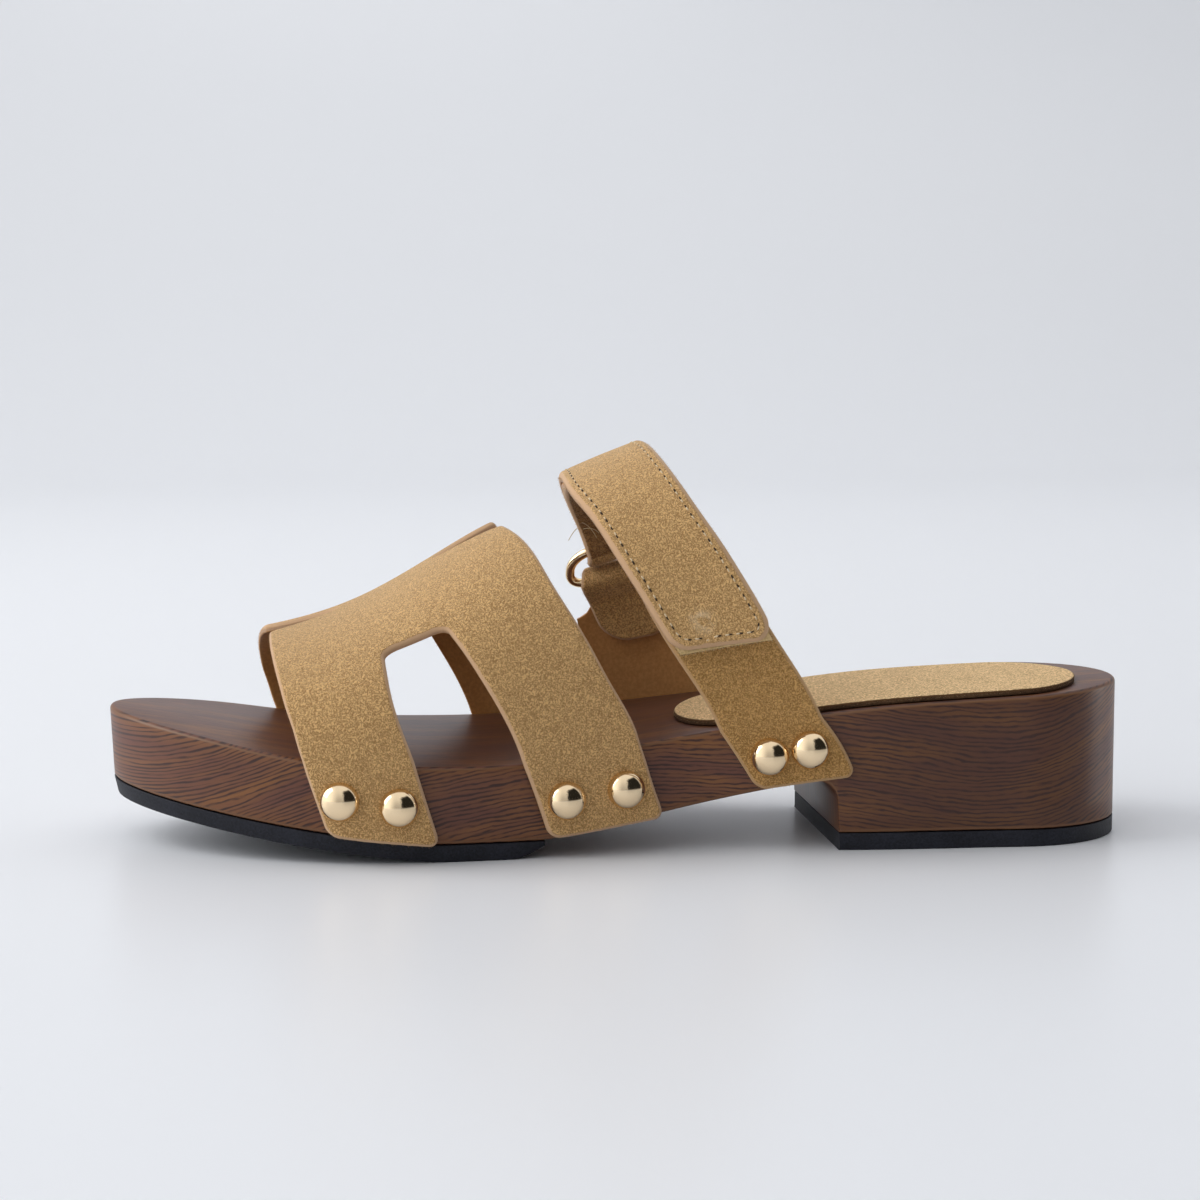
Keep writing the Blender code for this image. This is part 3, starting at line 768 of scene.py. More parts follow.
def border_distance(middle, border):
    """Distance of every grid point from the border, measured in space."""
    samples = []
    for start, end, _ in border:
        first, last = middle[start], middle[end]
        count = max(1, int(np.linalg.norm(last - first) / BORDER_STEP) + 1)
        samples += [first + (last - first) * k / count for k in range(count)]
    tree = kdtree.KDTree(len(samples))
    for number, sample in enumerate(samples):
        tree.insert(sample, number)
    tree.balance()
    flat = [tree.find(point)[2] for point in middle.reshape(-1, 3)]
    return np.array(flat).reshape(middle.shape[:2])


def rolled(distance, radius):
    """How deep a face has sunk at a distance from its edge."""
    inside = radius - np.clip(distance, 0, radius)
    return radius - np.sqrt(np.clip(radius**2 - inside**2, 0, None))


def wall(name, outside, inside, keep=None, press=None, outer_roll=OUTER_ROLL, inner_roll=INNER_ROLL,
         materials=WALL_FINISHES, folded_from=None):
    """Strap between two grids of points. press gives how deep the outer face is pressed in.

    Rows from folded_from on have turned inside, and get the fourth finish: a browner suede with painted
    shade.
    """
    if keep is None:
        keep = np.ones((outside.shape[0] - 1, outside.shape[1] - 1), bool)
    border = border_of(keep)
    middle = (outside + inside) / 2
    distance = border_distance(middle, border)
    through = inside - outside
    through /= np.maximum(np.linalg.norm(through, axis=-1, keepdims=True), 1e-9)
    depth = rolled(distance, outer_roll)
    if press is not None:
        depth = depth + press(outside, distance)
    outside = outside + through * depth[..., None]
    inside = inside - through * rolled(distance, inner_roll)[..., None]
    shell = Shell()
    for i, j in zip(*np.nonzero(keep)):
        cell = ((i, j), (i, j + 1), (i + 1, j + 1), (i + 1, j))
        marks = [distance[place] / outer_roll for place in cell]
        slot = 3 if folded_from is not None and i >= folded_from else 0
        shell.face(slot, [outside[place] for place in cell], marks)
        shell.face(2, [inside[place] for place in reversed(cell)], marks[::-1])
    for start, end, _ in border:
        shell.face(1, [outside[start], inside[start], inside[end], outside[end]])
    made = shell.make(name, materials)
    print(name, len(made.data.polygons), "faces")
    return Wall(made, outside, middle, border)


print("walls are built from two grids, rolled by", OUTER_ROLL, "mm outside and", INNER_ROLL, "mm inside")

# %% Rows and columns of a strap
STRAP = 2.0
EDGE_STEPS = np.array([0.0, 0.1, 0.25, 0.45, 0.75, 1.15, 1.7])


def shares(front, rear, count, steps=EDGE_STEPS):
    """Share of the way from a strap's front edge to its rear edge, close together near both."""
    width = np.maximum(np.abs(np.asarray(rear) - np.asarray(front)), 1e-6)[:, None]
    near = np.minimum(steps[None, :] / width, 0.42 * steps[None, :] / steps[-1])
    last = near[:, -1:]
    middle = last + (1 - 2 * last) * np.linspace(0, 1, count)[None, 1:-1]
    return np.concatenate([near, middle, 1 - near[:, ::-1]], axis=1)


def between(first, second, share):
    return np.asarray(first)[:, None] + np.asarray(second - first)[:, None] * share


def layers(x, rows, under, thickness):
    """Outer and inner face of a strap whose inner face lies a height over the last."""
    rows, under = rows + 0 * x, under + 0 * x
    return on_last(x, rows, under + thickness), on_last(x, rows, under)


def joined(*stretches):
    """Outer and inner face of a strap from stretches of both that follow each other."""
    return [np.concatenate(faces) for faces in zip(*stretches)]


def rows_from(*stretches):
    """Rows joined from stretches that share their end values."""
    return np.concatenate([stretches[0]] + [stretch[1:] for stretch in stretches[1:]])


def crowded(start, end, count):
    """Rows from one place to another, close together at the first."""
    return start + (end - start) * (1 - np.cos(np.linspace(0, math.pi / 2, count)))


def corner(distance, length, depth):
    """How far an edge draws in at a distance from a rounded corner's end."""
    share = np.clip(1 - distance / length, 0, 1)
    return depth * (1 - np.sqrt(np.clip(1 - share**2, 0, 1)))


def dress(piece, slot, *nodes):
    """Rides a finished piece on the shoe, in place of the solids it stands for."""
    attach(piece, "root")
    if nodes:
        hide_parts(*nodes)


print("straps", STRAP, "mm thick,", len(EDGE_STEPS), "close lines at each edge")

# %% [markdown]
# ## The band
# The band is one piece of suede cut like an H: two legs on either side and a bridge over the foot.
# Its edges are four lines around the foot, so the grid simply runs between those lines, and the
# cells between the legs are left out to open the window. Round the studs the suede is pulled in, which
# is pressed into the outer face as shallow dents.

# %% Stud seats
INNER_LEGS_FORWARD = 6.3
INNER_BASE_STUDS = (19.5, 30.0)
DENT = 0.4
DENT_REACH = 6.5


def stud_places():
    """Place along the foot and around it of every stud, the outer side first."""
    outer = list(zip(STUDS["x"], STUDS["around"]))
    inner_x = list(STUDS["x"][:4] - INNER_LEGS_FORWARD) + list(INNER_BASE_STUDS)
    return outer + [(x, 180 - around) for x, around in zip(inner_x, STUDS["around"])]


def dents(points, distance):
    """Depth of the dents that the studs pull into the suede."""
    away = np.linalg.norm(points[..., None, :] - STUD_SEATS, axis=-1)
    return (DENT * np.exp(-(away / DENT_REACH) ** 2)).sum(axis=-1)


STUD_PLACES = np.array(stud_places())
STUD_SEATS = on_last(STUD_PLACES[:, 0], STUD_PLACES[:, 1], GAP + STRAP + np.zeros(len(STUD_PLACES)))
print(len(STUD_SEATS), "stud seats")

# %% Band
WINDOW_TOP = 43.0
LEG_BOTTOM = -18.6
LEG_CORNER = 2.8
FRONT_LEG_RISE = 1.4
FRONT_NOTCH = 17.0
REAR_NOTCH = 15.0
NOTCH_HALF_ANGLE = 10.0
LEG_COLUMNS = 18
WINDOW_COLUMNS = 5


def band_edges(around):
    """The four edge lines of the band at rows around the foot, notches and corners included."""
    mirrored = np.where(around > 90, 180 - around, around)
    drop = np.where(around > 90, np.abs(np.cos(np.radians(np.clip(around, 90, 180)))), 0.0)
    front, window_front, window_rear, rear = (
        line(mirrored) - INNER_LEGS_FORWARD * drop
        for line in lines(BAND, "around", "front", "window_front", "window_rear", "rear")
    )
    bell = 0.5 + 0.5 * np.cos(math.pi * np.clip(np.abs(around - 90) / NOTCH_HALF_ANGLE, 0, 1))
    front = front + FRONT_NOTCH * bell
    rear = rear - REAR_NOTCH * bell
    tuck = corner(mirrored - LEG_BOTTOM, LEG_CORNER, LEG_CORNER)
    legs = np.where(mirrored <= WINDOW_TOP, corner(WINDOW_TOP - mirrored, LEG_CORNER, LEG_CORNER), LEG_CORNER)
    return front + tuck, window_front - tuck + legs, window_rear + tuck - legs, rear - tuck


def make_band():
    half = rows_from(
        crowded(LEG_BOTTOM, LEG_BOTTOM + LEG_CORNER, 10),
        np.linspace(LEG_BOTTOM + LEG_CORNER, WINDOW_TOP - LEG_CORNER, 46),
        crowded(WINDOW_TOP, WINDOW_TOP - LEG_CORNER, 10)[::-1],
        WINDOW_TOP + EDGE_STEPS,
        np.linspace(WINDOW_TOP + EDGE_STEPS[-1], 90 - NOTCH_HALF_ANGLE, 28),
        np.linspace(90 - NOTCH_HALF_ANGLE, 90, 19),
    )
    around = np.concatenate([half, 180 - half[-2::-1]])
    front, window_front, window_rear, rear = band_edges(around)
    even = np.linspace(0, 1, WINDOW_COLUMNS)[None, :] + np.zeros((len(around), 1))
    x = np.concatenate([
        between(front, window_front, shares(front, window_front, LEG_COLUMNS)),
        between(window_front, window_rear, even)[:, 1:],
        between(window_rear, rear, shares(window_rear, rear, LEG_COLUMNS))[:, 1:],
    ], axis=1)
    leg_cells = 2 * len(EDGE_STEPS) + LEG_COLUMNS - 3
    keep = np.ones((x.shape[0] - 1, x.shape[1] - 1), bool)
    mirrored = np.minimum(around, 180 - around)
    rise = FRONT_LEG_RISE * np.clip((window_front[:, None] - x) / (window_front - front)[:, None], 0, 1)
    low = np.sign(90 - around) * np.clip(mirrored / LEG_BOTTOM, 0, 1)
    rows = around[:, None] + low[:, None] * rise
    open_rows = np.minimum(mirrored[:-1], mirrored[1:]) < WINDOW_TOP - 1e-6
    keep[open_rows, leg_cells:leg_cells + WINDOW_COLUMNS - 1] = False
    made = wall("upper_h_band", *layers(x, rows, GAP, STRAP), keep, dents)
    dress(made.piece, "suede", "upper_h_band")
    return made


BAND_WALL = make_band()

# %% [markdown]
# ## The instep strap: base, tape and flap
# Behind the band a strap crosses the instep. Its outer base rises from the sole, a strip of fastener
# tape lies on it, and the flap comes over from the other side and closes on the tape. The flap's free
# end is cut a little askew with round corners, and its far end runs round the ring and back.

# %% Outer base and tape
OUTER_BASE_BOTTOM = -16.0
OUTER_BASE_TOP = 46.0
TAPE = 0.7
TAPE_LIFT = GAP + STRAP + GAP
TAPE_ROLL = 0.2
TAPE_TONES = (0.80, 0.60, 0.31), (0.54, 0.38, 0.17)
TAPE_FROM = 13.4
TAPE_TO = 40.0
TAPE_INSET = 1.0
END_SKEW = 1.7
END_SKEW_TO = 32.0
STRAP_COLUMNS = 18
THIN_STEPS = np.array([0.0, 0.1, 0.25, 0.5])
base_front, base_rear = lines(OUTER_BASE, "around", "front", "rear")


def skewed(around, end):
    """Rows at the front edge of a strap whose end is cut a little higher there than at the rear."""
    return around + END_SKEW * np.clip((END_SKEW_TO - around) / (END_SKEW_TO - end), 0, 1)


def make_outer_base():
    around = rows_from(
        crowded(OUTER_BASE_BOTTOM, OUTER_BASE_BOTTOM + LEG_CORNER, 10),
        np.linspace(OUTER_BASE_BOTTOM + LEG_CORNER, OUTER_BASE_TOP, 48),
    )
    tuck = corner(around - OUTER_BASE_BOTTOM, LEG_CORNER, LEG_CORNER)
    front, rear = base_front(around) + tuck, base_rear(around) - tuck
    x = between(front, rear, shares(front, rear, STRAP_COLUMNS))
    made = wall(
        "strap_outer_base", *layers(x, around[:, None], GAP, STRAP),
        press=dents, materials=(SHADED_BASE_SUEDE,) + WALL_FINISHES[1:],
    )
    dress(made.piece, "suede", "strap_outer_base")
    return made


def make_tape():
    around = rows_from(TAPE_FROM + THIN_STEPS, np.linspace(TAPE_FROM + THIN_STEPS[-1], TAPE_TO, 30))
    front_rows = skewed(around, TAPE_FROM)
    front, rear = base_front(front_rows) + TAPE_INSET, base_rear(around) - TAPE_INSET
    share = shares(front, rear, STRAP_COLUMNS, THIN_STEPS)
    x = between(front, rear, share)
    rows = between(front_rows, around, share)
    made = wall(
        "fastener_tape", *layers(x, rows, TAPE_LIFT, TAPE),
        outer_roll=TAPE_ROLL, inner_roll=TAPE_ROLL, materials=(TAPE_FINISH,) * 3,
    )
    dress(made.piece, "tape", "fastener_tape")
    return made


TAPE_FINISH = speckled_finish("fuzzy_tape", *TAPE_TONES, grain=0.6, roughness=0.9, specular=0.2, depth=0.3)
BASE_WALL = make_outer_base()
TAPE_WALL = make_tape()

# %% [markdown]
# ### Flap
# The flap is two layers sewn together near the edge, so its outer face has a shallow groove along the
# seam. It is the same kind of wall: the rows run from the free end up over the instep, down to the
# ring, half round its bar and back up on the inside.

# %% Turn round the ring
RING_WIRE = 2.4
RING_UPPER_BAR = 139.6
RING_LOWER_BAR = 149.8
BAR_OFFSET = -RING_WIRE / 2
BAR_CLEAR = 3.0
FOLD_SLACK = 0.35
UNDER_BAR = BAR_OFFSET - RING_WIRE / 2 - GAP - FOLD_SLACK
TURN_ROWS = 17


def turn_round_bar(x, bar, thickness, downwards):
    """Rows of a strap round a bar of the ring, from its outer side to its inner side."""
    point, across, normal = last_frame(x, bar + 0 * x)
    centre = point + normal * BAR_OFFSET
    direction = across if downwards else -across
    inner_radius = RING_WIRE / 2 + GAP + FOLD_SLACK
    outside, inside = [], []
    for angle in np.linspace(0, math.pi, TURN_ROWS):
        ray = normal * math.cos(angle) + direction * math.sin(angle)
        outside.append(centre + ray * (inner_radius + thickness))
        inside.append(centre + ray * inner_radius)
    return outside, inside


print("straps turn", RING_WIRE / 2 + GAP + FOLD_SLACK, "mm from the middle of the ring's wire")

# %% Flap
FLAP = 2.5
FLAP_END = 13.8
FLAP_CORNER = 4.5
FLAP_CORNER_ROWS = 4.3
FLAP_LIFT = TAPE_LIFT + TAPE + GAP
FLAP_EASE_FROM = 95.0
FLAP_RETURN = 86.0
FLAP_FOLD_CLOSES = 14.0
FLAP_ROLL = 1.6
FLAP_INNER_ROLL = 0.12
SEAM_INSET = 2.4
SEAM_DEPTH = 0.1
SEAM_WIDTH = 0.45
SEAM_STEPS = np.array([0.0, 0.1, 0.25, 0.45, 0.75, 1.1, 1.45, 1.8, 2.2, 2.6, 3.0, 3.5])


def flap_lift(rows):
    """Height of the flap's inner face: over the tape at first, down on the last at the ring."""
    share = (rows - FLAP_EASE_FROM) / (RING_UPPER_BAR - BAR_CLEAR - FLAP_EASE_FROM)
    return FLAP_LIFT + (GAP - FLAP_LIFT) * ease(share)


def seam_groove(points, distance):
    """Depth of the groove that the seam pulls into the flap, by the distance from its edge."""
    return SEAM_DEPTH * np.exp(-((distance - SEAM_INSET) / SEAM_WIDTH) ** 2)


def make_flap():
    front_line, rear_line = lines(FLAP_EDGES, "around", "front", "rear")
    around = rows_from(
        crowded(FLAP_END, FLAP_END + FLAP_CORNER_ROWS, 15),
        np.linspace(FLAP_END + FLAP_CORNER_ROWS, RING_UPPER_BAR - BAR_CLEAR, 100),
    )
    tuck = corner(around - FLAP_END, FLAP_CORNER_ROWS, FLAP_CORNER)
    front_rows = skewed(around, FLAP_END)
    front, rear = front_line(front_rows) + tuck, rear_line(around) - tuck
    share = shares(front, rear, STRAP_COLUMNS, SEAM_STEPS)
    rows = between(front_rows, around, share)
    upper = layers(between(front, rear, share), rows, flap_lift(rows), FLAP)
    bar = np.array([RING_UPPER_BAR])
    bar_x = between(front_line(bar), rear_line(bar), share[-1:])[0]
    turned = turn_round_bar(bar_x, RING_UPPER_BAR, FLAP, True)
    back = np.linspace(RING_UPPER_BAR - BAR_CLEAR - 1, FLAP_RETURN, 32)
    front, rear = front_line(back), rear_line(back)
    x = between(front, rear, shares(front, rear, STRAP_COLUMNS, SEAM_STEPS))
    rows = back[:, None]
    under_strap = flap_lift(rows) - GAP
    near = UNDER_BAR + (under_strap - UNDER_BAR) * ease((RING_UPPER_BAR - rows) / FLAP_FOLD_CLOSES)
    folded = layers(x, rows, near, -FLAP)
    made = wall(
        "strap_flap", *joined(upper, turned, folded), press=seam_groove, outer_roll=FLAP_ROLL,
        inner_roll=FLAP_INNER_ROLL, folded_from=len(around) + TURN_ROWS - 1,
        materials=(FLAP_SUEDE,) + WALL_FINISHES[1:],
    )
    dress(made.piece, "suede", "strap_flap")
    return made, len(around)


FLAP_WALL, FLAP_ROWS = make_flap()

# %% [markdown]
# ## Inner base and ring
# On the inner side a second base rises to a shoulder and narrows to a tab, which folds over the ring's
# lower bar and is sewn down inside. The ring is wire bent to a rectangle: a path laid on the last,
# with a circle swept along it.

# %% Inner base
INNER_BASE_BOTTOM = 195.0
SHOULDER = 159.5
SHOULDER_STEP = 1.5
TAB_END = 168.0
TAB_ROUND = 6.0
TAB_FOLD_CLOSES = 8.0
inner_base_front, inner_base_rear = lines(INNER_BASE, "around", "front", "rear")
tab_front, tab_rear = lines(TAB, "around", "front", "rear")


def inner_base_edges():
    """Rows up to the ring, with the front and the rear edge at each: base, shoulder and tab."""
    wide = rows_from(
        INNER_BASE_BOTTOM - crowded(0, LEG_CORNER, 10),
        np.linspace(INNER_BASE_BOTTOM - LEG_CORNER, SHOULDER + 1, 34),
    )
    narrow = rows_from(
        np.linspace(SHOULDER + 0.8, SHOULDER - SHOULDER_STEP, 9),
        np.linspace(SHOULDER - SHOULDER_STEP, RING_LOWER_BAR + BAR_CLEAR / 2, 8),
    )
    tuck = corner(INNER_BASE_BOTTOM - wide, LEG_CORNER, LEG_CORNER)
    width_left = np.interp(SHOULDER - narrow, (-1.0, 0.0, SHOULDER_STEP, 4.0), (1.0, 0.45, 0.1, 0.0))
    edges = []
    for base_line, tab_line, side in ((inner_base_front, tab_front, 1), (inner_base_rear, tab_rear, -1)):
        base = base_line(wide) + side * tuck
        tab = tab_line(narrow) + width_left * (base[-1] - tab_line(SHOULDER))
        edges.append(np.concatenate([base, tab]))
    return np.concatenate([wide, narrow]), *edges


def make_inner_base():
    around, front, rear = inner_base_edges()
    x = between(rear, front, shares(rear, front, STRAP_COLUMNS))
    base = layers(x, around[:, None], GAP, STRAP)
    bar = np.array([RING_LOWER_BAR])
    front, rear = tab_front(bar), tab_rear(bar)
    bar_x = between(rear, front, shares(rear, front, STRAP_COLUMNS))[0]
    turned = turn_round_bar(bar_x, RING_LOWER_BAR, STRAP, False)
    back = rows_from(
        np.linspace(RING_LOWER_BAR + BAR_CLEAR - 1, TAB_END - TAB_ROUND, 12),
        (TAB_END - crowded(0, TAB_ROUND, 14))[::-1],
    )
    tuck = corner(TAB_END - back, TAB_ROUND, TAB_ROUND)
    front, rear = tab_front(back) + tuck, tab_rear(back) - tuck
    x = between(rear, front, shares(rear, front, STRAP_COLUMNS))
    rows = back[:, None]
    near = UNDER_BAR * (1 - ease((rows - RING_LOWER_BAR) / TAB_FOLD_CLOSES))
    folded = layers(x, rows, near, -STRAP)
    made = wall("strap_inner_base", *joined(base, turned, folded), press=dents)
    dress(made.piece, "suede", "strap_inner_base")
    return made


INNER_BASE_WALL = make_inner_base()

# %% Ring
RING_FRONT = -7.3
RING_REAR = 16.2
RING_CORNER = 4.5
RING_STEPS = 14
RING_SIDES = 24


def ring_path():
    """Places along the foot and around it, once round the ring's rectangle."""
    half = (RING_LOWER_BAR - RING_UPPER_BAR) / 2
    middle = (RING_LOWER_BAR + RING_UPPER_BAR) / 2
    reach = RING_REAR - RING_FRONT - 2 * RING_CORNER
    straight = half - RING_CORNER
    corners = (
        (RING_FRONT + RING_CORNER, 180, -1),
        (RING_REAR - RING_CORNER, 270, -1),
        (RING_REAR - RING_CORNER, 0, 1),
        (RING_FRONT + RING_CORNER, 90, 1),
    )
    path = []
    for x, start, side in corners:
        for angle in np.radians(np.linspace(start, start + 90, RING_STEPS)):
            across = middle + side * straight + RING_CORNER * math.sin(angle)
            path.append((x + RING_CORNER * math.cos(angle), across))
        if start in (180, 0):
            heading = 1 if start == 180 else -1
            for k in range(1, RING_STEPS):
                path.append((x + heading * reach * k / RING_STEPS, middle + side * half))
    return np.array(path)


def make_ring():
    path = ring_path()
    centre = on_last(path[:, 0], path[:, 1], BAR_OFFSET + 0 * path[:, 0])
    normal = last_frame(path[:, 0], path[:, 1])[2]
    tangent = np.roll(centre, -1, axis=0) - np.roll(centre, 1, axis=0)
    tangent /= np.linalg.norm(tangent, axis=1, keepdims=True)
    side = np.cross(tangent, normal)
    side /= np.linalg.norm(side, axis=1, keepdims=True)
    normal = np.cross(side, tangent)
    turns = 2 * math.pi * np.arange(RING_SIDES) / RING_SIDES
    tube = [centre + RING_WIRE / 2 * (normal * math.cos(a) + side * math.sin(a)) for a in turns]
    shell = Shell()
    count = len(path)
    for i in range(count):
        for k in range(RING_SIDES):
            a, b, n = tube[k], tube[(k + 1) % RING_SIDES], (i + 1) % count
            shell.face(0, [a[i], b[i], b[n], a[n]])
    made = shell.make("strap_ring", (RING_GOLD,))
    dress(made, "gold", "strap_ring")
    return made


GOLD = plain_finish("pale_gold", (0.88, 0.69, 0.45), 0.12, metallic=1.0)
RING_GOLD = plain_finish("ring_gold", (0.97, 0.76, 0.47), 0.2, metallic=1.0)
RING = make_ring()
print("ring", len(RING.data.polygons), "faces")

# %% [markdown]
# ## Sole
# The sole looks like stacked, stained wood: broken dark streaks about a millimetre apart. A picture of
# wood could be wrapped round it. Here the streaks are noise that is stretched along a map named
# "grain", and the map is bent where the wood's lines bend: a table says how they climb behind the toe,
# fall slowly from the arch to the heel and rise again at its back. The top's edge is rounded, so that it
# catches a line of light.

# %% Sole outline
RUBBER = 4.1
FLAT_FROM = -46.0
FLAT_TO = -21.0
TOE_SPRING = 10.9
TOE_SPRING_POWER = 1.2
BREAST_X = 50.6
BREAST_LEAN = 0.4
SHANK_RISE = 13.4
BREAST_FILLET = 5.0
TOE_TAPER = 0.8
STATIONS = 190
FILLET_ROWS = 9
MERGE = 0.5


def wood_bottom(x):
    """Underside of the sole in front of the heel: toe spring, flat tread, rising shank."""
    base = RUBBER + GAP
    if x < FLAT_FROM:
        return base + TOE_SPRING * ((FLAT_FROM - x) / (FLAT_FROM + LENGTH / 2)) ** TOE_SPRING_POWER
    if x > FLAT_TO:
        t = (x - FLAT_TO) / (BREAST_X - FLAT_TO)
        return base + SHANK_RISE * (0.75 * t + 0.25 * t * t * (3 - 2 * t))
    return base


def pair(x, z, inset=0.0):
    """Outer and inner point of the sole's outline at x, drawn in by an inset."""
    mid = plan_mid(x)
    share = 1 - inset / HALF_WIDTH
    along = x * (1 - inset / (LENGTH / 2))
    outer = np.array([along, mid + (outer_side(x) - mid) * share, z])
    inner = np.array([along, mid + (inner_side(x) - mid) * share, z])
    return outer, inner


def toe_inset(x):
    return TOE_TAPER * min(1.0, max(0.0, -x / (LENGTH / 2)))


def stations(start, end, count):
    """Stations between two places, close together towards both."""
    return start + (end - start) * (1 - np.cos(np.linspace(0, math.pi, count))) / 2


def sole_path():
    """Underside from toe to heel, with the fillet and the nearly upright breast."""
    fillet_x = BREAST_X - BREAST_LEAN - BREAST_FILLET
    xs = stations(-LENGTH / 2, LENGTH / 2, STATIONS)
    path = [(x, wood_bottom(x)) for x in xs if x < fillet_x - MERGE]
    shank_z = wood_bottom(fillet_x)
    for angle in np.linspace(0, math.pi / 2, FILLET_ROWS):
        lowered = BREAST_FILLET * (1 - math.cos(angle))
        path.append((fillet_x + BREAST_FILLET * math.sin(angle), shank_z - lowered))
    path.append((BREAST_X, RUBBER + GAP))
    return path + [(x, RUBBER + GAP) for x in xs if x > BREAST_X + MERGE]


print("sole", STATIONS, "stations from toe to heel")

# %% Sole body and its map
RIM_ROUND = 1.0
FOOT_EDGE = 0.35
SIDE_ROWS = 7
RIM_ROWS = 6
GRAIN_ACROSS = 0.35
GRAIN_DOWN = 0.4
GRAIN = table(
    "x rise",
    (-125, 0.0),
    (-110, 1.5),
    (-95, 6.5),
    (-80, 12.8),
    (-65, 18.5),
    (-45, 24.0),
    (-25, 27.4),
    (0, 29.4),
    (40, 28.0),
    (70, 24.3),
    (90, 22.4),
    (105, 24.4),
    (125, 33.5),
)
grain_rise = smooth(GRAIN["x"], GRAIN["rise"])


def side_section(x, bottom):
    """Heights and insets down the sole's side, from its top face to its underside."""
    top = top_height(x)
    rim = [
        (top - RIM_ROUND * (1 - math.cos(a)), RIM_ROUND * (1 - math.sin(a)))
        for a in np.linspace(0, math.pi / 2, RIM_ROWS)
    ]
    share = np.linspace(0, 1, SIDE_ROWS)[1:]
    upper, lower = top - RIM_ROUND, bottom + FOOT_EDGE
    side = [(upper + (lower - upper) * s, toe_inset(x) * s) for s in share]
    return rim + side + [(bottom, toe_inset(x) + FOOT_EDGE)]


def side_grain(point):
    """Map of the side: along the outline, and height less the rise of the wood's lines."""
    x, y, z = point
    return x + GRAIN_ACROSS * y, z - grain_rise(x)


def flat_grain(point):
    """Map of the flat faces, whose streaks run from toe to heel."""
    x, y, z = point
    return x + GRAIN_DOWN * z, y


def slab(rings, depths=None):
    """Closed body from rings of (outer, inner) pairs listed from top to bottom, with its map.

    depths gives how far each place of each ring lies from the nearest edge of the side.
    """
    shell = Shell()
    depths = depths or [[0.0] * len(ring) for ring in rings]
    for upper, lower, high, low in zip(rings, rings[1:], depths, depths[1:]):
        for i in range(len(upper) - 1):
            near = [upper[i][0], lower[i][0], lower[i + 1][0], upper[i + 1][0]]
            far = [upper[i][1], lower[i][1], lower[i + 1][1], upper[i + 1][1]]
            marks = [high[i], low[i], low[i + 1], high[i + 1]]
            shell.face(0, near, marks, [side_grain(p) for p in near])
            shell.face(0, far[::-1], marks[::-1], [side_grain(p) for p in far[::-1]])
        for points in (
            [upper[0][1], lower[0][1], lower[0][0], upper[0][0]],
            [upper[-1][0], lower[-1][0], lower[-1][1], upper[-1][1]],
        ):
            shell.face(0, points, corners=[side_grain(p) for p in points])
    for i in range(len(rings[0]) - 1):
        (a, d), (b, c) = rings[0][i], rings[0][i + 1]
        shell.face(0, [a, b, c, d], corners=[flat_grain(p) for p in (a, b, c, d)])
        (a, d), (b, c) = rings[-1][i], rings[-1][i + 1]
        shell.face(0, [d, c, b, a], corners=[flat_grain(p) for p in (d, c, b, a)])
    return shell


print("the wood's lines rise", grain_rise(-45.0).round(1), "mm behind the toe")

# %% [markdown]
# ### Wood
# Each line of the wood wavers, slowly and then quickly, and is broken by a noise that is stretched along
# it. The ground under the lines drifts from purple-brown to orange-brown and is more orange near the
# edges. The heel's side is darkened with painted shade, and the rims carry a lighter line painted as a
# highlight.

# %% Wood lines
LINE_PITCH = 1.08
LINE_EVENNESS = 0.14
LINE_BREAKS = (0.07, 1.05)
LINE_FIBRES = (0.35, 2.8)
BROAD_WAVE = 5.0
QUICK_WAVE = 1.2


def stretched_noise(tree, place, along, across, detail=2.0):
    """Noise drawn out along the grain; along and across are waves in a millimetre."""
    stretch = add(tree, "ShaderNodeMapping", {"Scale": (along, across, 1.0)})
    tree.links.new(place, stretch.inputs["Vector"])
    return noise(tree, stretch.outputs["Vector"], 1.0, detail)


def wavering(tree, place):
    """Grain map whose lines waver, and the height of its lines."""
    axes = split_axes(tree, place)
    broad = math_node(tree, "MULTIPLY", stretched_noise(tree, place, 0.02, 0.08), BROAD_WAVE)
    quick = math_node(tree, "MULTIPLY", stretched_noise(tree, place, 0.16, 0.4), QUICK_WAVE)
    height = math_node(tree, "ADD", math_node(tree, "ADD", axes["Y"], broad), quick)
    bent = add(tree, "ShaderNodeCombineXYZ")
    tree.links.new(axes["X"], bent.inputs["X"])
    tree.links.new(height, bent.inputs["Y"])
    return bent.outputs["Vector"], height


def dark_lines(tree, place):
    """1 on the wood's dark lines: even stripes that are broken by noise and frayed by fibres."""
    bent, height = wavering(tree, place)
    stripe = math_node(tree, "SINE", math_node(tree, "MULTIPLY", height, 2 * math.pi / LINE_PITCH))
    broken = stretched_noise(tree, bent, *LINE_BREAKS, 3.0)
    fibres = stretched_noise(tree, bent, *LINE_FIBRES)
    even = math_node(tree, "MULTIPLY", stripe, LINE_EVENNESS)
    return map_range(tree, math_node(tree, "ADD", blend(tree, broken, fibres, 0.55), even), 0.44, 0.70)


print("wood lines", LINE_PITCH, "mm apart")

# %% Wood and sole
TOP_ROUGHNESS = 0.42
SIDE_ROUGHNESS = 0.4
EDGE_REACH = 6.0
EDGE_ORANGE = 0.65
# How far the heel's side is darkened with painted shade, and the tone of that shade.
HEEL_SHADE = 0.55
PURPLE = (0.128, 0.048, 0.030)
ORANGE = (0.218, 0.088, 0.027)
HEEL_SHADE_TONE = (0.060, 0.024, 0.013)
DARK_LINE = (0.042, 0.017, 0.013)
# Tone of the lighter line painted along the rims as a highlight.
RIM_HIGHLIGHT = (0.17, 0.078, 0.034)


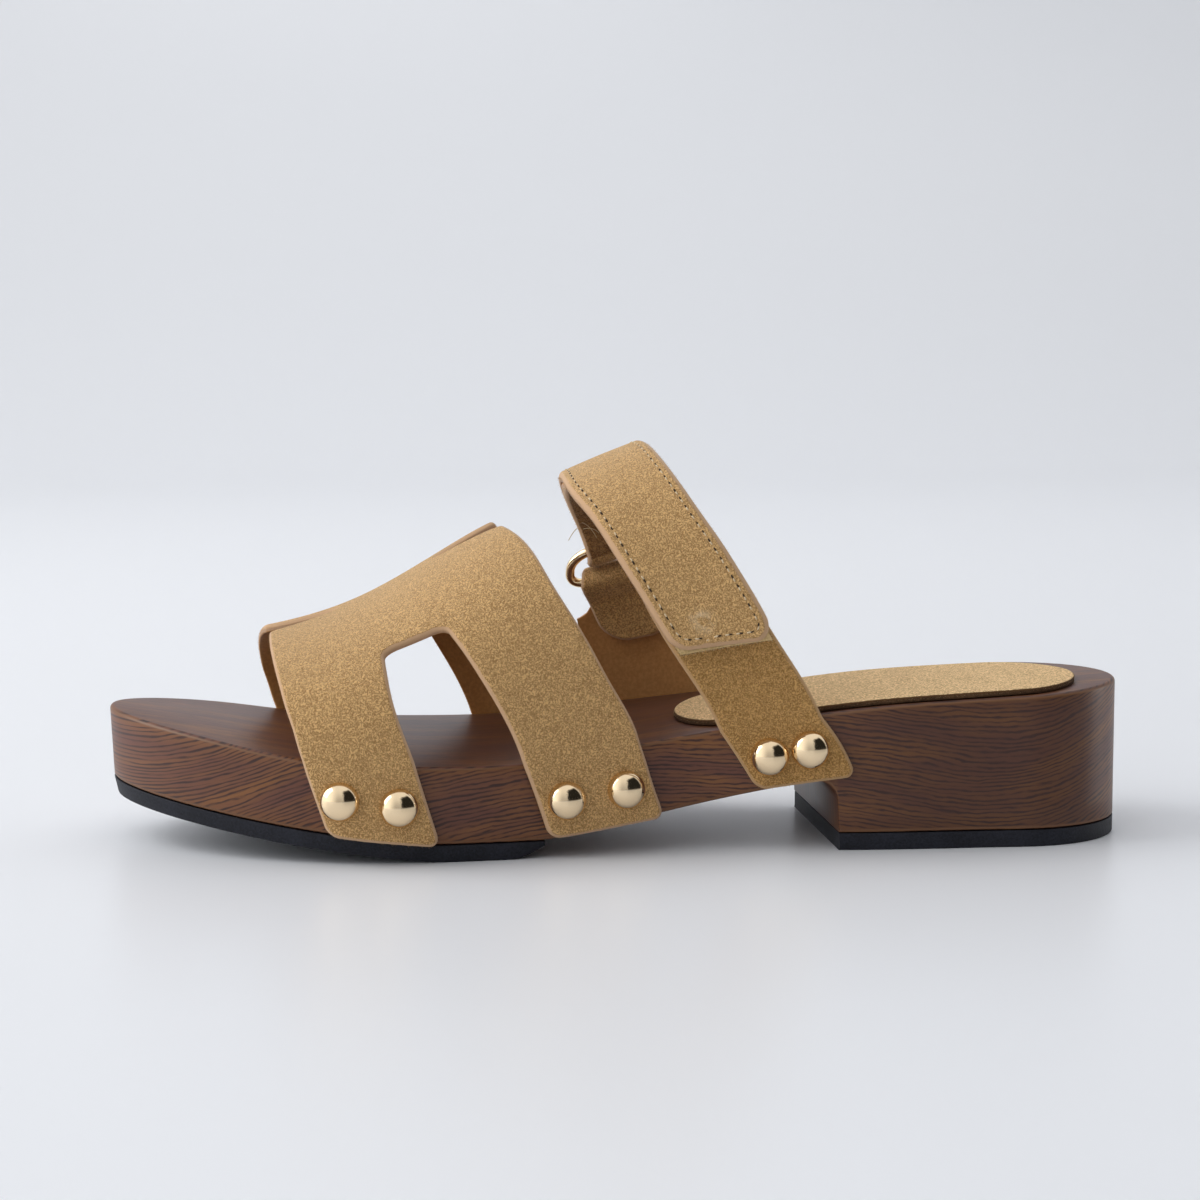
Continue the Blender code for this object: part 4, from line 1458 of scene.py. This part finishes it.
def heel_side_shade(tree, along):
    """Share of the painted shade on the heel's side, which fades towards the arch and the heel's back."""
    grows = map_range(tree, along, 10.0, 60.0, 0.0, HEEL_SHADE)
    return math_node(tree, "MULTIPLY", grows, map_range(tree, along, 115.0, 95.0))


def off_breast(tree, along, facing):
    """0 on the heel's breast, which faces the toe, and 1 elsewhere."""
    behind_arch = map_range(tree, along, 20.0, 25.0)
    faces_toe = map_range(tree, facing["X"], -0.5, -0.7)
    return math_node(tree, "SUBTRACT", 1.0, math_node(tree, "MULTIPLY", behind_arch, faces_toe))


def wood_finish():
    material, tree, shader = new_finish("streaked_wood", 0.45, 0.36)
    place = add(tree, "ShaderNodeUVMap", uv_map="grain").outputs["UV"]
    along = split_axes(tree, place)["X"]
    facing = split_axes(tree, coordinates(tree, "Normal"))
    upright = map_range(tree, math_node(tree, "ABSOLUTE", facing["Z"]), 0.85, 0.5)
    depth = add(tree, "ShaderNodeAttribute", attribute_name=EDGE_MARK).outputs["Fac"]
    at_edge = map_range(tree, depth, EDGE_REACH, 0.0, 0.0, EDGE_ORANGE)
    drift = map_range(tree, stretched_noise(tree, place, 0.03, 0.16), 0.38, 0.72)
    orange = math_node(tree, "MAXIMUM", drift, math_node(tree, "MULTIPLY", at_edge, upright))
    colour = mix_colour(tree, orange, PURPLE, ORANGE)
    # Painted shade: the heel's side is darkened where less light reaches it.
    colour = mix_colour(tree, heel_side_shade(tree, along), colour, HEEL_SHADE_TONE)
    line = dark_lines(tree, place)
    colour = mix_colour(tree, line, colour, DARK_LINE)
    # Painted highlight: a lighter line within a millimetre of the side's rims, left off the breast.
    rim = math_node(tree, "MULTIPLY", map_range(tree, depth, 1.0, 0.5), upright)
    rim = math_node(tree, "MULTIPLY", rim, off_breast(tree, along, facing))
    tree.links.new(mix_colour(tree, rim, colour, RIM_HIGHLIGHT), shader.inputs["Base Color"])
    gloss = map_range(tree, upright, 0.0, 1.0, TOP_ROUGHNESS, SIDE_ROUGHNESS)
    tree.links.new(gloss, shader.inputs["Roughness"])
    bump(tree, line, shader, -0.3, 0.12)
    return material


def make_sole():
    path = sole_path()
    sections = [side_section(x, bottom) for x, bottom in path]
    levels = range(len(sections[0]))
    rings = [[pair(x, *section[k]) for (x, _), section in zip(path, sections)] for k in levels]
    depths = [
        [min(section[0][0] - section[k][0], section[k][0] - section[-1][0]) for section in sections]
        for k in levels
    ]
    made = slab(rings, depths).make("sole", (WOOD,), sharp_angle=50, map_name="grain")
    dress(made, "wood", "sole")
    return made


WOOD = wood_finish()
SOLE = make_sole()
print("sole", len(SOLE.data.polygons), "faces")

# %% [markdown]
# ## Rubber
# Under the forefoot and the heel lies a sheet of blue-black rubber with slightly broken edges. It is the
# sole's outline again at other heights, with a small chamfer above and below. The forefoot's sheet is
# pared down at its rear end, where the arch begins.

# %% Rubber outsoles
RUBBER_EDGE = 0.4
RUBBER_TOP_EDGE = 0.15
RUBBER_SKIVE = 8.0
RUBBER_THIN = 1.0
RUBBER_TONES = (0.018, 0.020, 0.030), (0.005, 0.0055, 0.009)


def rubber_depth(x):
    """Thickness of the forefoot rubber, which is pared down to its rear end."""
    share = min(1.0, max(0.0, 1 - (FLAT_TO - x) / RUBBER_SKIVE))
    return RUBBER - (RUBBER - RUBBER_THIN) * share**1.5


def rubber_section(top, depth, taper):
    """Heights and insets down the rubber's side."""
    bottom = top - depth
    edge = min(RUBBER_EDGE, depth / 3)
    return [
        (top, taper + RUBBER_TOP_EDGE),
        (top - RUBBER_TOP_EDGE, taper),
        (bottom + edge, 2 * taper),
        (bottom + 0.3 * edge, 2 * taper + 0.3 * edge),
        (bottom, 2 * taper + edge),
    ]


def make_outsole(name, xs, top_at, depth_at, taper_at):
    sections = [rubber_section(top_at(x), depth_at(x), taper_at(x)) for x in xs]
    levels = range(len(sections[0]))
    rings = [[pair(x, *section[k]) for x, section in zip(xs, sections)] for k in levels]
    made = slab(rings).make(name, (RUBBER_FINISH,), sharp_angle=30)
    dress(made, "rubber", name)
    return made


def make_outsoles():
    xs = stations(-LENGTH / 2, 2 * FLAT_TO + LENGTH / 2, 160)
    pared = np.linspace(FLAT_TO - RUBBER_SKIVE, FLAT_TO, 12)
    xs = np.unique(np.concatenate([xs[xs < pared[0] - 0.3], [FLAT_FROM], pared]))
    forefoot = make_outsole("outsole_forefoot", xs, lambda x: wood_bottom(x) - GAP, rubber_depth, toe_inset)
    xs = stations(-LENGTH / 2, LENGTH / 2, STATIONS)
    xs = np.append(BREAST_X, xs[xs > BREAST_X + MERGE])
    heel = make_outsole("outsole_heel", xs, lambda x: RUBBER, lambda x: RUBBER, lambda x: 0.0)
    return forefoot, heel


RUBBER_FINISH = speckled_finish(
    "blue_black_rubber", *RUBBER_TONES, grain=0.5, roughness=0.6, specular=0.28, depth=0.2,
)
OUTSOLES = make_outsoles()
print("rubber", [len(piece.data.polygons) for piece in OUTSOLES], "faces")

# %% [markdown]
# ## Heel pad
# A soft suede pad is glued on the heel seat. It is one more wall, lying flat: its top is crowned by a
# fraction of a millimetre and rolls down at the edge, where the suede is darker. Nothing presses on
# it, so its rest shape is modelled as it lies.

# %% Heel pad
PAD = 1.4
PAD_FRONT = 14.5
PAD_REAR = 114.0
PAD_FRONT_ROUND = 10.0
PAD_REAR_ROUND = 17.0
PAD_CROWN = 0.35
PAD_ROLL = 0.45
PAD_UNDER_ROLL = 0.1
PAD_TONES = (0.92, 0.65, 0.345), (0.42, 0.27, 0.128)
PAD_TUFT = 0.74
PAD_EDGE = (0.10, 0.05, 0.022)
PAD_SIDE_TONES = (0.12, 0.065, 0.03), (0.05, 0.026, 0.012)


def make_pad():
    outer_line, inner_line = lines(PAD_PLAN, "x", "outer", "inner")
    xs = stations(PAD_FRONT, PAD_REAR, 90)
    middle = (outer_line(xs) + inner_line(xs)) / 2
    full = round_end(xs - PAD_FRONT, PAD_FRONT_ROUND) * round_end(PAD_REAR - xs, PAD_REAR_ROUND)
    outer = middle + (outer_line(xs) - middle) * full
    inner = middle + (inner_line(xs) - middle) * full
    share = shares(inner, outer, 26)
    y = between(inner, outer, share)
    x = xs[:, None] + 0 * y
    base = top_height(x) + GAP
    crown = PAD_CROWN * np.clip(4 * share * (1 - share), 0, 1) * full[:, None]
    top = np.stack([x, y, base + PAD + crown], axis=-1)
    bottom = np.stack([x, y, base], axis=-1)
    made = wall(
        "insole_pad", top, bottom, outer_roll=PAD_ROLL, inner_roll=PAD_UNDER_ROLL, materials=PAD_FINISHES,
    )
    dress(made.piece, "pad_suede", "insole_pad")
    return made


PAD_SUEDE = suede_finish("pad_suede", *PAD_TONES, PAD_TUFT, PAD_EDGE, edge_reach=0.3, sheen=0.1)
PAD_SIDE = speckled_finish(
    "pad_side", *PAD_SIDE_TONES, grain=0.6, roughness=0.9, specular=0.2, depth=0.2,
)
PAD_FINISHES = (PAD_SUEDE, PAD_SIDE, PAD_SIDE)
PAD_WALL = make_pad()

# %% [markdown]
# ## Geometry Nodes for what repeats
# Studs, stitches and stray fibres repeat one small shape many times. Copying them in a loop would do, but
# a Geometry Nodes group says it once: put a shape on every point, or every so many millimetres along
# a path, stand it along the direction each point carries, and vary it a little from a fixed seed.
# The result is turned into a plain mesh straight away, so nothing is left to be worked out later.

# %% Scatter groups
OUT = "out"


def scatter_group(name, along_path):
    """Group that stands a shape on points, or along paths, turned by their own outward direction."""
    group = bpy.data.node_groups.new(name, "GeometryNodeTree")
    kinds = {
        "Geometry": "NodeSocketGeometry", "Shape": "NodeSocketObject", "Material": "NodeSocketMaterial",
        "Spacing": "NodeSocketFloat", "Lean": "NodeSocketFloat", "Smallest": "NodeSocketFloat",
        "Seed": "NodeSocketInt",
    }
    for label, kind in kinds.items():
        group.interface.new_socket(label, in_out="INPUT", socket_type=kind)
    group.interface.new_socket("Geometry", in_out="OUTPUT", socket_type="NodeSocketGeometry")
    link = group.links.new
    given = add(group, "NodeGroupInput").outputs
    points = given["Geometry"]
    out = add(group, "GeometryNodeInputNamedAttribute", data_type="FLOAT_VECTOR")
    out.inputs["Name"].default_value = OUT
    turn = add(group, "FunctionNodeAlignRotationToVector", axis="Z")
    link(live_socket(out.outputs, "Attribute"), turn.inputs["Vector"])
    rotation = turn.outputs["Rotation"]
    if along_path:
        curve = add(group, "GeometryNodeMeshToCurve")
        link(points, curve.inputs["Mesh"])
        even = add(group, "GeometryNodeResampleCurve", mode="LENGTH")
        link(curve.outputs["Curve"], even.inputs["Curve"])
        link(given["Spacing"], even.inputs["Length"])
        points = even.outputs["Curve"]
        follow = add(group, "FunctionNodeAlignRotationToVector", axis="X", pivot_axis="Z")
        link(rotation, follow.inputs["Rotation"])
        link(add(group, "GeometryNodeInputTangent").outputs["Tangent"], follow.inputs["Vector"])
        rotation = follow.outputs["Rotation"]
    lean = add(group, "FunctionNodeRandomValue", data_type="FLOAT_VECTOR")
    opposite = math_node(group, "MULTIPLY", given["Lean"], -1.0)
    link(opposite, live_socket(lean.inputs, "Min"))
    link(given["Lean"], live_socket(lean.inputs, "Max"))
    link(given["Seed"], lean.inputs["Seed"])
    leaning = add(group, "FunctionNodeRotateRotation", rotation_space="LOCAL")
    link(rotation, leaning.inputs["Rotation"])
    link(live_socket(lean.outputs, "Value"), leaning.inputs["Rotate By"])
    size = add(group, "FunctionNodeRandomValue", data_type="FLOAT")
    link(given["Smallest"], live_socket(size.inputs, "Min"))
    live_socket(size.inputs, "Max").default_value = 1.0
    link(given["Seed"], size.inputs["Seed"])
    shape = add(group, "GeometryNodeObjectInfo")
    link(given["Shape"], shape.inputs["Object"])
    stand = add(group, "GeometryNodeInstanceOnPoints")
    link(points, stand.inputs["Points"])
    link(shape.outputs["Geometry"], stand.inputs["Instance"])
    link(leaning.outputs["Rotation"], stand.inputs["Rotation"])
    link(live_socket(size.outputs, "Value"), stand.inputs["Scale"])
    real = add(group, "GeometryNodeRealizeInstances")
    link(stand.outputs["Instances"], real.inputs["Geometry"])
    finish = add(group, "GeometryNodeSetMaterial")
    link(real.outputs["Geometry"], finish.inputs["Geometry"])
    link(given["Material"], finish.inputs["Material"])
    link(finish.outputs["Geometry"], add(group, "NodeGroupOutput").inputs["Geometry"])
    return group


ON_POINTS = scatter_group("shape_on_points", False)
ALONG_PATHS = scatter_group("shape_along_paths", True)
print("groups:", ON_POINTS.name, ALONG_PATHS.name)

# %% Carriers and small shapes


def carrier(name, points, outs, edges=()):
    """Mesh of bare points or paths that carry an outward direction."""
    mesh = bpy.data.meshes.new(name)
    mesh.from_pydata((np.asarray(points) * MM).tolist(), [tuple(e) for e in edges], [])
    direction = mesh.attributes.new(OUT, "FLOAT_VECTOR", "POINT")
    direction.data.foreach_set("vector", np.asarray(outs, np.float32).ravel())
    made = bpy.data.objects.new(name, mesh)
    scene.collection.objects.link(made)
    return made


def scatter(made, group, shape, material, spacing=1.0, lean=0.0, smallest=1.0, seed=1):
    """Runs the group once on a carrier and keeps the result as its plain mesh."""
    values = {
        "Shape": shape, "Material": material, "Spacing": spacing * MM, "Lean": lean,
        "Smallest": smallest, "Seed": seed,
    }
    modifier = made.modifiers.new(group.name, "NODES")
    modifier.node_group = group
    for item in group.interface.items_tree:
        if item.item_type == "SOCKET" and item.in_out == "INPUT" and item.name in values:
            modifier[item.identifier] = values[item.name]
    evaluated = made.evaluated_get(bpy.context.evaluated_depsgraph_get())
    mesh = bpy.data.meshes.new_from_object(evaluated)
    made.modifiers.clear()
    made.data = mesh
    mesh.shade_smooth()
    bpy.data.objects.remove(shape, do_unlink=True)
    print(made.name, len(mesh.polygons), "faces")
    return made


def revolved(name, profile, sides):
    """Small shape turned round Z from (radius, height) pairs; a radius of 0 closes it."""
    shell = Shell()
    turns = 2 * math.pi * np.arange(sides + 1) / sides
    for (r0, z0), (r1, z1) in zip(profile, profile[1:]):
        for a, b in zip(turns, turns[1:]):
            ring = [
                (r0 * math.cos(a), r0 * math.sin(a), z0), (r0 * math.cos(b), r0 * math.sin(b), z0),
                (r1 * math.cos(b), r1 * math.sin(b), z1), (r1 * math.cos(a), r1 * math.sin(a), z1),
            ]
            shell.face(0, [np.array(point) for point in ring])
    return shell.make(name, ())


print("shapes can be put on points and along paths")

# %% [markdown]
# ## Studs
# Each leg is nailed to the sole with two domed studs. One dome is turned from a profile whose rim
# reaches a little into the suede, and the group puts it on all twelve seats.

# %% Studs
STUD_DIAMETER = 9.2
STUD_HEIGHT = 3.4
STUD_SKIRT = 0.7
STUD_ROWS = 13
STUD_SIDES = 40


def make_studs():
    radius = STUD_DIAMETER / 2
    angles = np.linspace(0, math.pi / 2, STUD_ROWS)
    dome = [(radius * math.cos(a), GAP + STUD_HEIGHT * math.sin(a)) for a in angles[:-1]]
    profile = [(radius, -STUD_SKIRT)] + dome + [(0.0, GAP + STUD_HEIGHT)]
    normals = last_frame(STUD_PLACES[:, 0], STUD_PLACES[:, 1])[2]
    made = carrier("studs", STUD_SEATS, normals)
    scatter(made, ON_POINTS, revolved("stud_shape", profile, STUD_SIDES), GOLD)
    names = [f"stud_{side}_{number}" for side in ("outer", "inner") for number in range(1, 7)]
    dress(made, "gold", *names)
    return made


make_studs()

# %% [markdown]
# ## Seam of the flap
# Pale thread runs round the flap a little way in from the edge, with a dark bead of painted shadow in the
# slot where it dives between the stitches. The seam's path is the flap's own edge moved inwards along its
# face, so it turns the corners with it. A stitch is a short bead with its ends drawn down, and the group
# lays it along the path.

# %% Seam path
PATH_STEP = 0.4


def resample(points, step):
    """Points at even steps along a path."""
    gaps = np.linalg.norm(np.diff(points, axis=0), axis=1)
    lengths = np.concatenate([[0.0], np.cumsum(gaps)])
    places = np.linspace(0, lengths[-1], int(lengths[-1] / step) + 1)
    return np.stack([np.interp(places, lengths, points[:, k]) for k in range(3)], axis=1)


def evened(points, reach):
    """Running mean along a path whose ends stay."""
    padded = np.concatenate([np.repeat(points[:1], reach, 0), points, np.repeat(points[-1:], reach, 0)])
    kernel = np.ones(2 * reach + 1) / (2 * reach + 1)
    return np.stack([np.convolve(padded[:, k], kernel, "valid") for k in range(3)], axis=1)


def grid_surface(grid):
    """A grid of points as a surface that can be searched."""
    columns = grid.shape[1]
    faces = [
        (k, k + 1, k + columns + 1, k + columns)
        for k in range((len(grid) - 1) * columns) if (k + 1) % columns
    ]
    return BVHTree.FromPolygons(grid.reshape(-1, 3).tolist(), faces)


def seam_path(wall_made, rows, inset, thickness):
    """Path on a strap's outer face, an inset in from its front edge, its free end and its rear edge.

    The inset is measured on the middle between both faces, which doesn't roll at the edge.
    """
    grid = wall_made.middle[:rows]
    middle, outside = grid_surface(grid), grid_surface(wall_made.outside[:rows])
    edge = np.concatenate([grid[::-1, 0], grid[0, 1:-1], grid[:, -1]])
    edge = evened(resample(edge, PATH_STEP), 3)
    tangent = evened(np.gradient(edge, axis=0), 4)
    path, outs = [], []
    for point, along in zip(edge, tangent):
        normal = middle.find_nearest(Vector(point))[1]
        inwards = normal.cross(Vector(along)).normalized()
        inner, normal = middle.find_nearest(Vector(point) + inwards * inset)[:2]
        path.append(np.array(outside.find_nearest(inner + normal * thickness / 2)[0]))
        outs.append(np.array(normal))
    return evened(np.array(path), 2), evened(np.array(outs), 4)


SEAM_PATH, SEAM_OUTS = seam_path(FLAP_WALL, FLAP_ROWS, SEAM_INSET, FLAP)
print("seam path", len(SEAM_PATH), "points")

# %% Stitches and slots
STITCH_PITCH = 2.6
STITCH_LENGTH = 1.4
STITCH_WIDTH = 0.42
STITCH_LIFT = 0.14
STITCH_SINK = 0.3
SLOT_LENGTH = 1.3
SLOT_WIDTH = 0.46
SLOT_LIFT = 0.05
SLOT_SINK = 0.05


def bead(name, length, width, sink, rings=7, sides=6):
    """Short bead along X whose ends are drawn down."""
    shell = Shell()
    turns = 2 * math.pi * np.arange(sides + 1) / sides
    share = np.linspace(-1, 1, rings)

    def point(s, turn):
        radius = width / 2 * math.sqrt(max(0.0, 1 - s**4))
        height = 0.75 * radius * math.sin(turn) - sink * s**2
        return np.array([s * length / 2, radius * math.cos(turn), height])

    for s0, s1 in zip(share, share[1:]):
        for a, b in zip(turns, turns[1:]):
            shell.face(0, [point(s0, b), point(s0, a), point(s1, a), point(s1, b)])
    return shell.make(name, ())


def chain(count):
    """Edges that join points in their order."""
    return [(k, k + 1) for k in range(count - 1)]


def make_seam():
    skip = int(STITCH_PITCH / 2 / PATH_STEP)
    stitched = (SEAM_PATH + STITCH_LIFT * SEAM_OUTS)[:-skip]
    thread = carrier("flap_stitches", stitched, SEAM_OUTS[:-skip], chain(len(stitched)))
    stitch = bead("stitch_shape", STITCH_LENGTH, STITCH_WIDTH, STITCH_SINK)
    scatter(thread, ALONG_PATHS, stitch, THREAD, STITCH_PITCH, lean=0.12, smallest=0.85, seed=3)
    # Dark beads stand for the shadow in each slot where the thread dives: painted shadow.
    slotted = (SEAM_PATH + SLOT_LIFT * SEAM_OUTS)[skip:]
    slots = carrier("flap_slots", slotted, SEAM_OUTS[skip:], chain(len(slotted)))
    slot = bead("slot_shape", SLOT_LENGTH, SLOT_WIDTH, SLOT_SINK)
    scatter(slots, ALONG_PATHS, slot, SLOT_SHADOW, STITCH_PITCH, lean=0.05, smallest=0.7, seed=4)
    for piece in (thread, slots):
        dress(piece, "suede")


THREAD = plain_finish("pale_thread", (0.68, 0.53, 0.33), 0.75)
# Near-black colour of the painted slot shadows.
SLOT_SHADOW = plain_finish("thread_slot", (0.035, 0.018, 0.009), 0.95)
make_seam()

# %% [markdown]
# ## Stray fibres
# Cut suede sheds: fine hairs stand along the edges and pale ones along the tape. Each hair is a cone
# with three sides, put along the borders of the walls, leaning and sized at random. They hardly show
# one by one, but they keep the outline from looking cut with a razor.

# %% Edge fuzz
HAIR_LENGTH = 0.7
HAIR_WIDTH = 0.07
HAIR_ROOT = 0.1
HAIR_LEAN = 0.9
HAIR_SMALLEST = 0.35


def border_paths(wall_made):
    """Border points of a wall with the direction away from it, and the edges that join them."""
    middle = wall_made.middle
    places = {}
    outs, edges = [], []
    for start, end, (i, j) in wall_made.border:
        centre = middle[i:i + 2, j:j + 2].mean(axis=(0, 1))
        along = middle[end] - middle[start]
        away = (middle[start] + middle[end]) / 2 - centre
        away = away - along * (away @ along) / max(along @ along, 1e-9)
        away = away / max(np.linalg.norm(away), 1e-9)
        numbers = []
        for place in (start, end):
            number = places.setdefault(place, len(places))
            if number == len(outs):
                outs.append(np.zeros(3))
            outs[number] += away
            numbers.append(number)
        edges.append(numbers)
    points = np.array([middle[place] for place in places])
    outs = np.array(outs)
    return points, outs / np.maximum(np.linalg.norm(outs, axis=1, keepdims=True), 1e-9), edges


def make_fuzz(name, slot, wall_made, material, spacing, length, seed):
    points, outs, edges = border_paths(wall_made)
    made = carrier(name, points - HAIR_ROOT * outs, outs, edges)
    hair = revolved("hair_shape", [(HAIR_WIDTH / 2, 0.0), (HAIR_WIDTH / 3, length / 2), (0.0, length)], 3)
    scatter(made, ALONG_PATHS, hair, material, spacing, HAIR_LEAN, HAIR_SMALLEST, seed)
    dress(made, slot)


HAIR = plain_finish("suede_hair", (0.50, 0.33, 0.17), 0.9)
PALE_HAIR = plain_finish("tape_hair", (0.74, 0.62, 0.38), 0.9)
make_fuzz("band_fuzz", "suede", BAND_WALL, HAIR, 0.3, HAIR_LENGTH, 11)
make_fuzz("base_fuzz", "suede", BASE_WALL, HAIR, 0.3, HAIR_LENGTH, 12)
make_fuzz("flap_fuzz", "suede", FLAP_WALL, HAIR, 0.3, HAIR_LENGTH, 13)
make_fuzz("inner_base_fuzz", "suede", INNER_BASE_WALL, HAIR, 0.35, HAIR_LENGTH, 14)
make_fuzz("tape_fuzz", "tape", TAPE_WALL, PALE_HAIR, 0.12, 0.9, 15)
make_fuzz("pad_fuzz", "pad_suede", PAD_WALL, HAIR, 0.3, HAIR_LENGTH * 0.8, 16)

# %% [markdown]
# ## Loose threads
# Inside the flap, where it is turned round the ring, a few ends of the seam's thread have come loose.
# Each is a short bend between three points, and the group lays beads so close along it that they join
# into a strand.

# %% Loose threads
STRAND_STEP = 0.35
STRAND_WIDTH = 0.2
STRAND_POINTS = 15
LOOSE_THREADS = np.array([
    [(-5.8, 23.2, 75.2), (-3.4, 22.6, 74.6), (-1.6, 23.5, 71.3)],
    [(-4.6, 23.4, 73.4), (-2.6, 22.4, 73.9), (-1.0, 23.6, 72.4)],
    [(-6.0, 24.6, 73.6), (-7.2, 23.2, 73.4), (-8.6, 23.8, 70.6)],
])


def make_loose_threads():
    share = np.linspace(0, 1, STRAND_POINTS)[:, None]
    points, edges = [], []
    for start, bend, end in LOOSE_THREADS:
        edges += [(len(points) + a, len(points) + b) for a, b in chain(STRAND_POINTS)]
        points += list((1 - share) ** 2 * start + 2 * share * (1 - share) * bend + share**2 * end)
    outs = np.tile((0.0, -1.0, 0.0), (len(points), 1))
    made = carrier("loose_threads", points, outs, edges)
    strand = bead("strand_shape", 2 * STRAND_STEP, STRAND_WIDTH, 0.0)
    scatter(made, ALONG_PATHS, strand, THREAD, STRAND_STEP, seed=5)
    dress(made, "suede")


make_loose_threads()

# %% Finish
print("scene built")
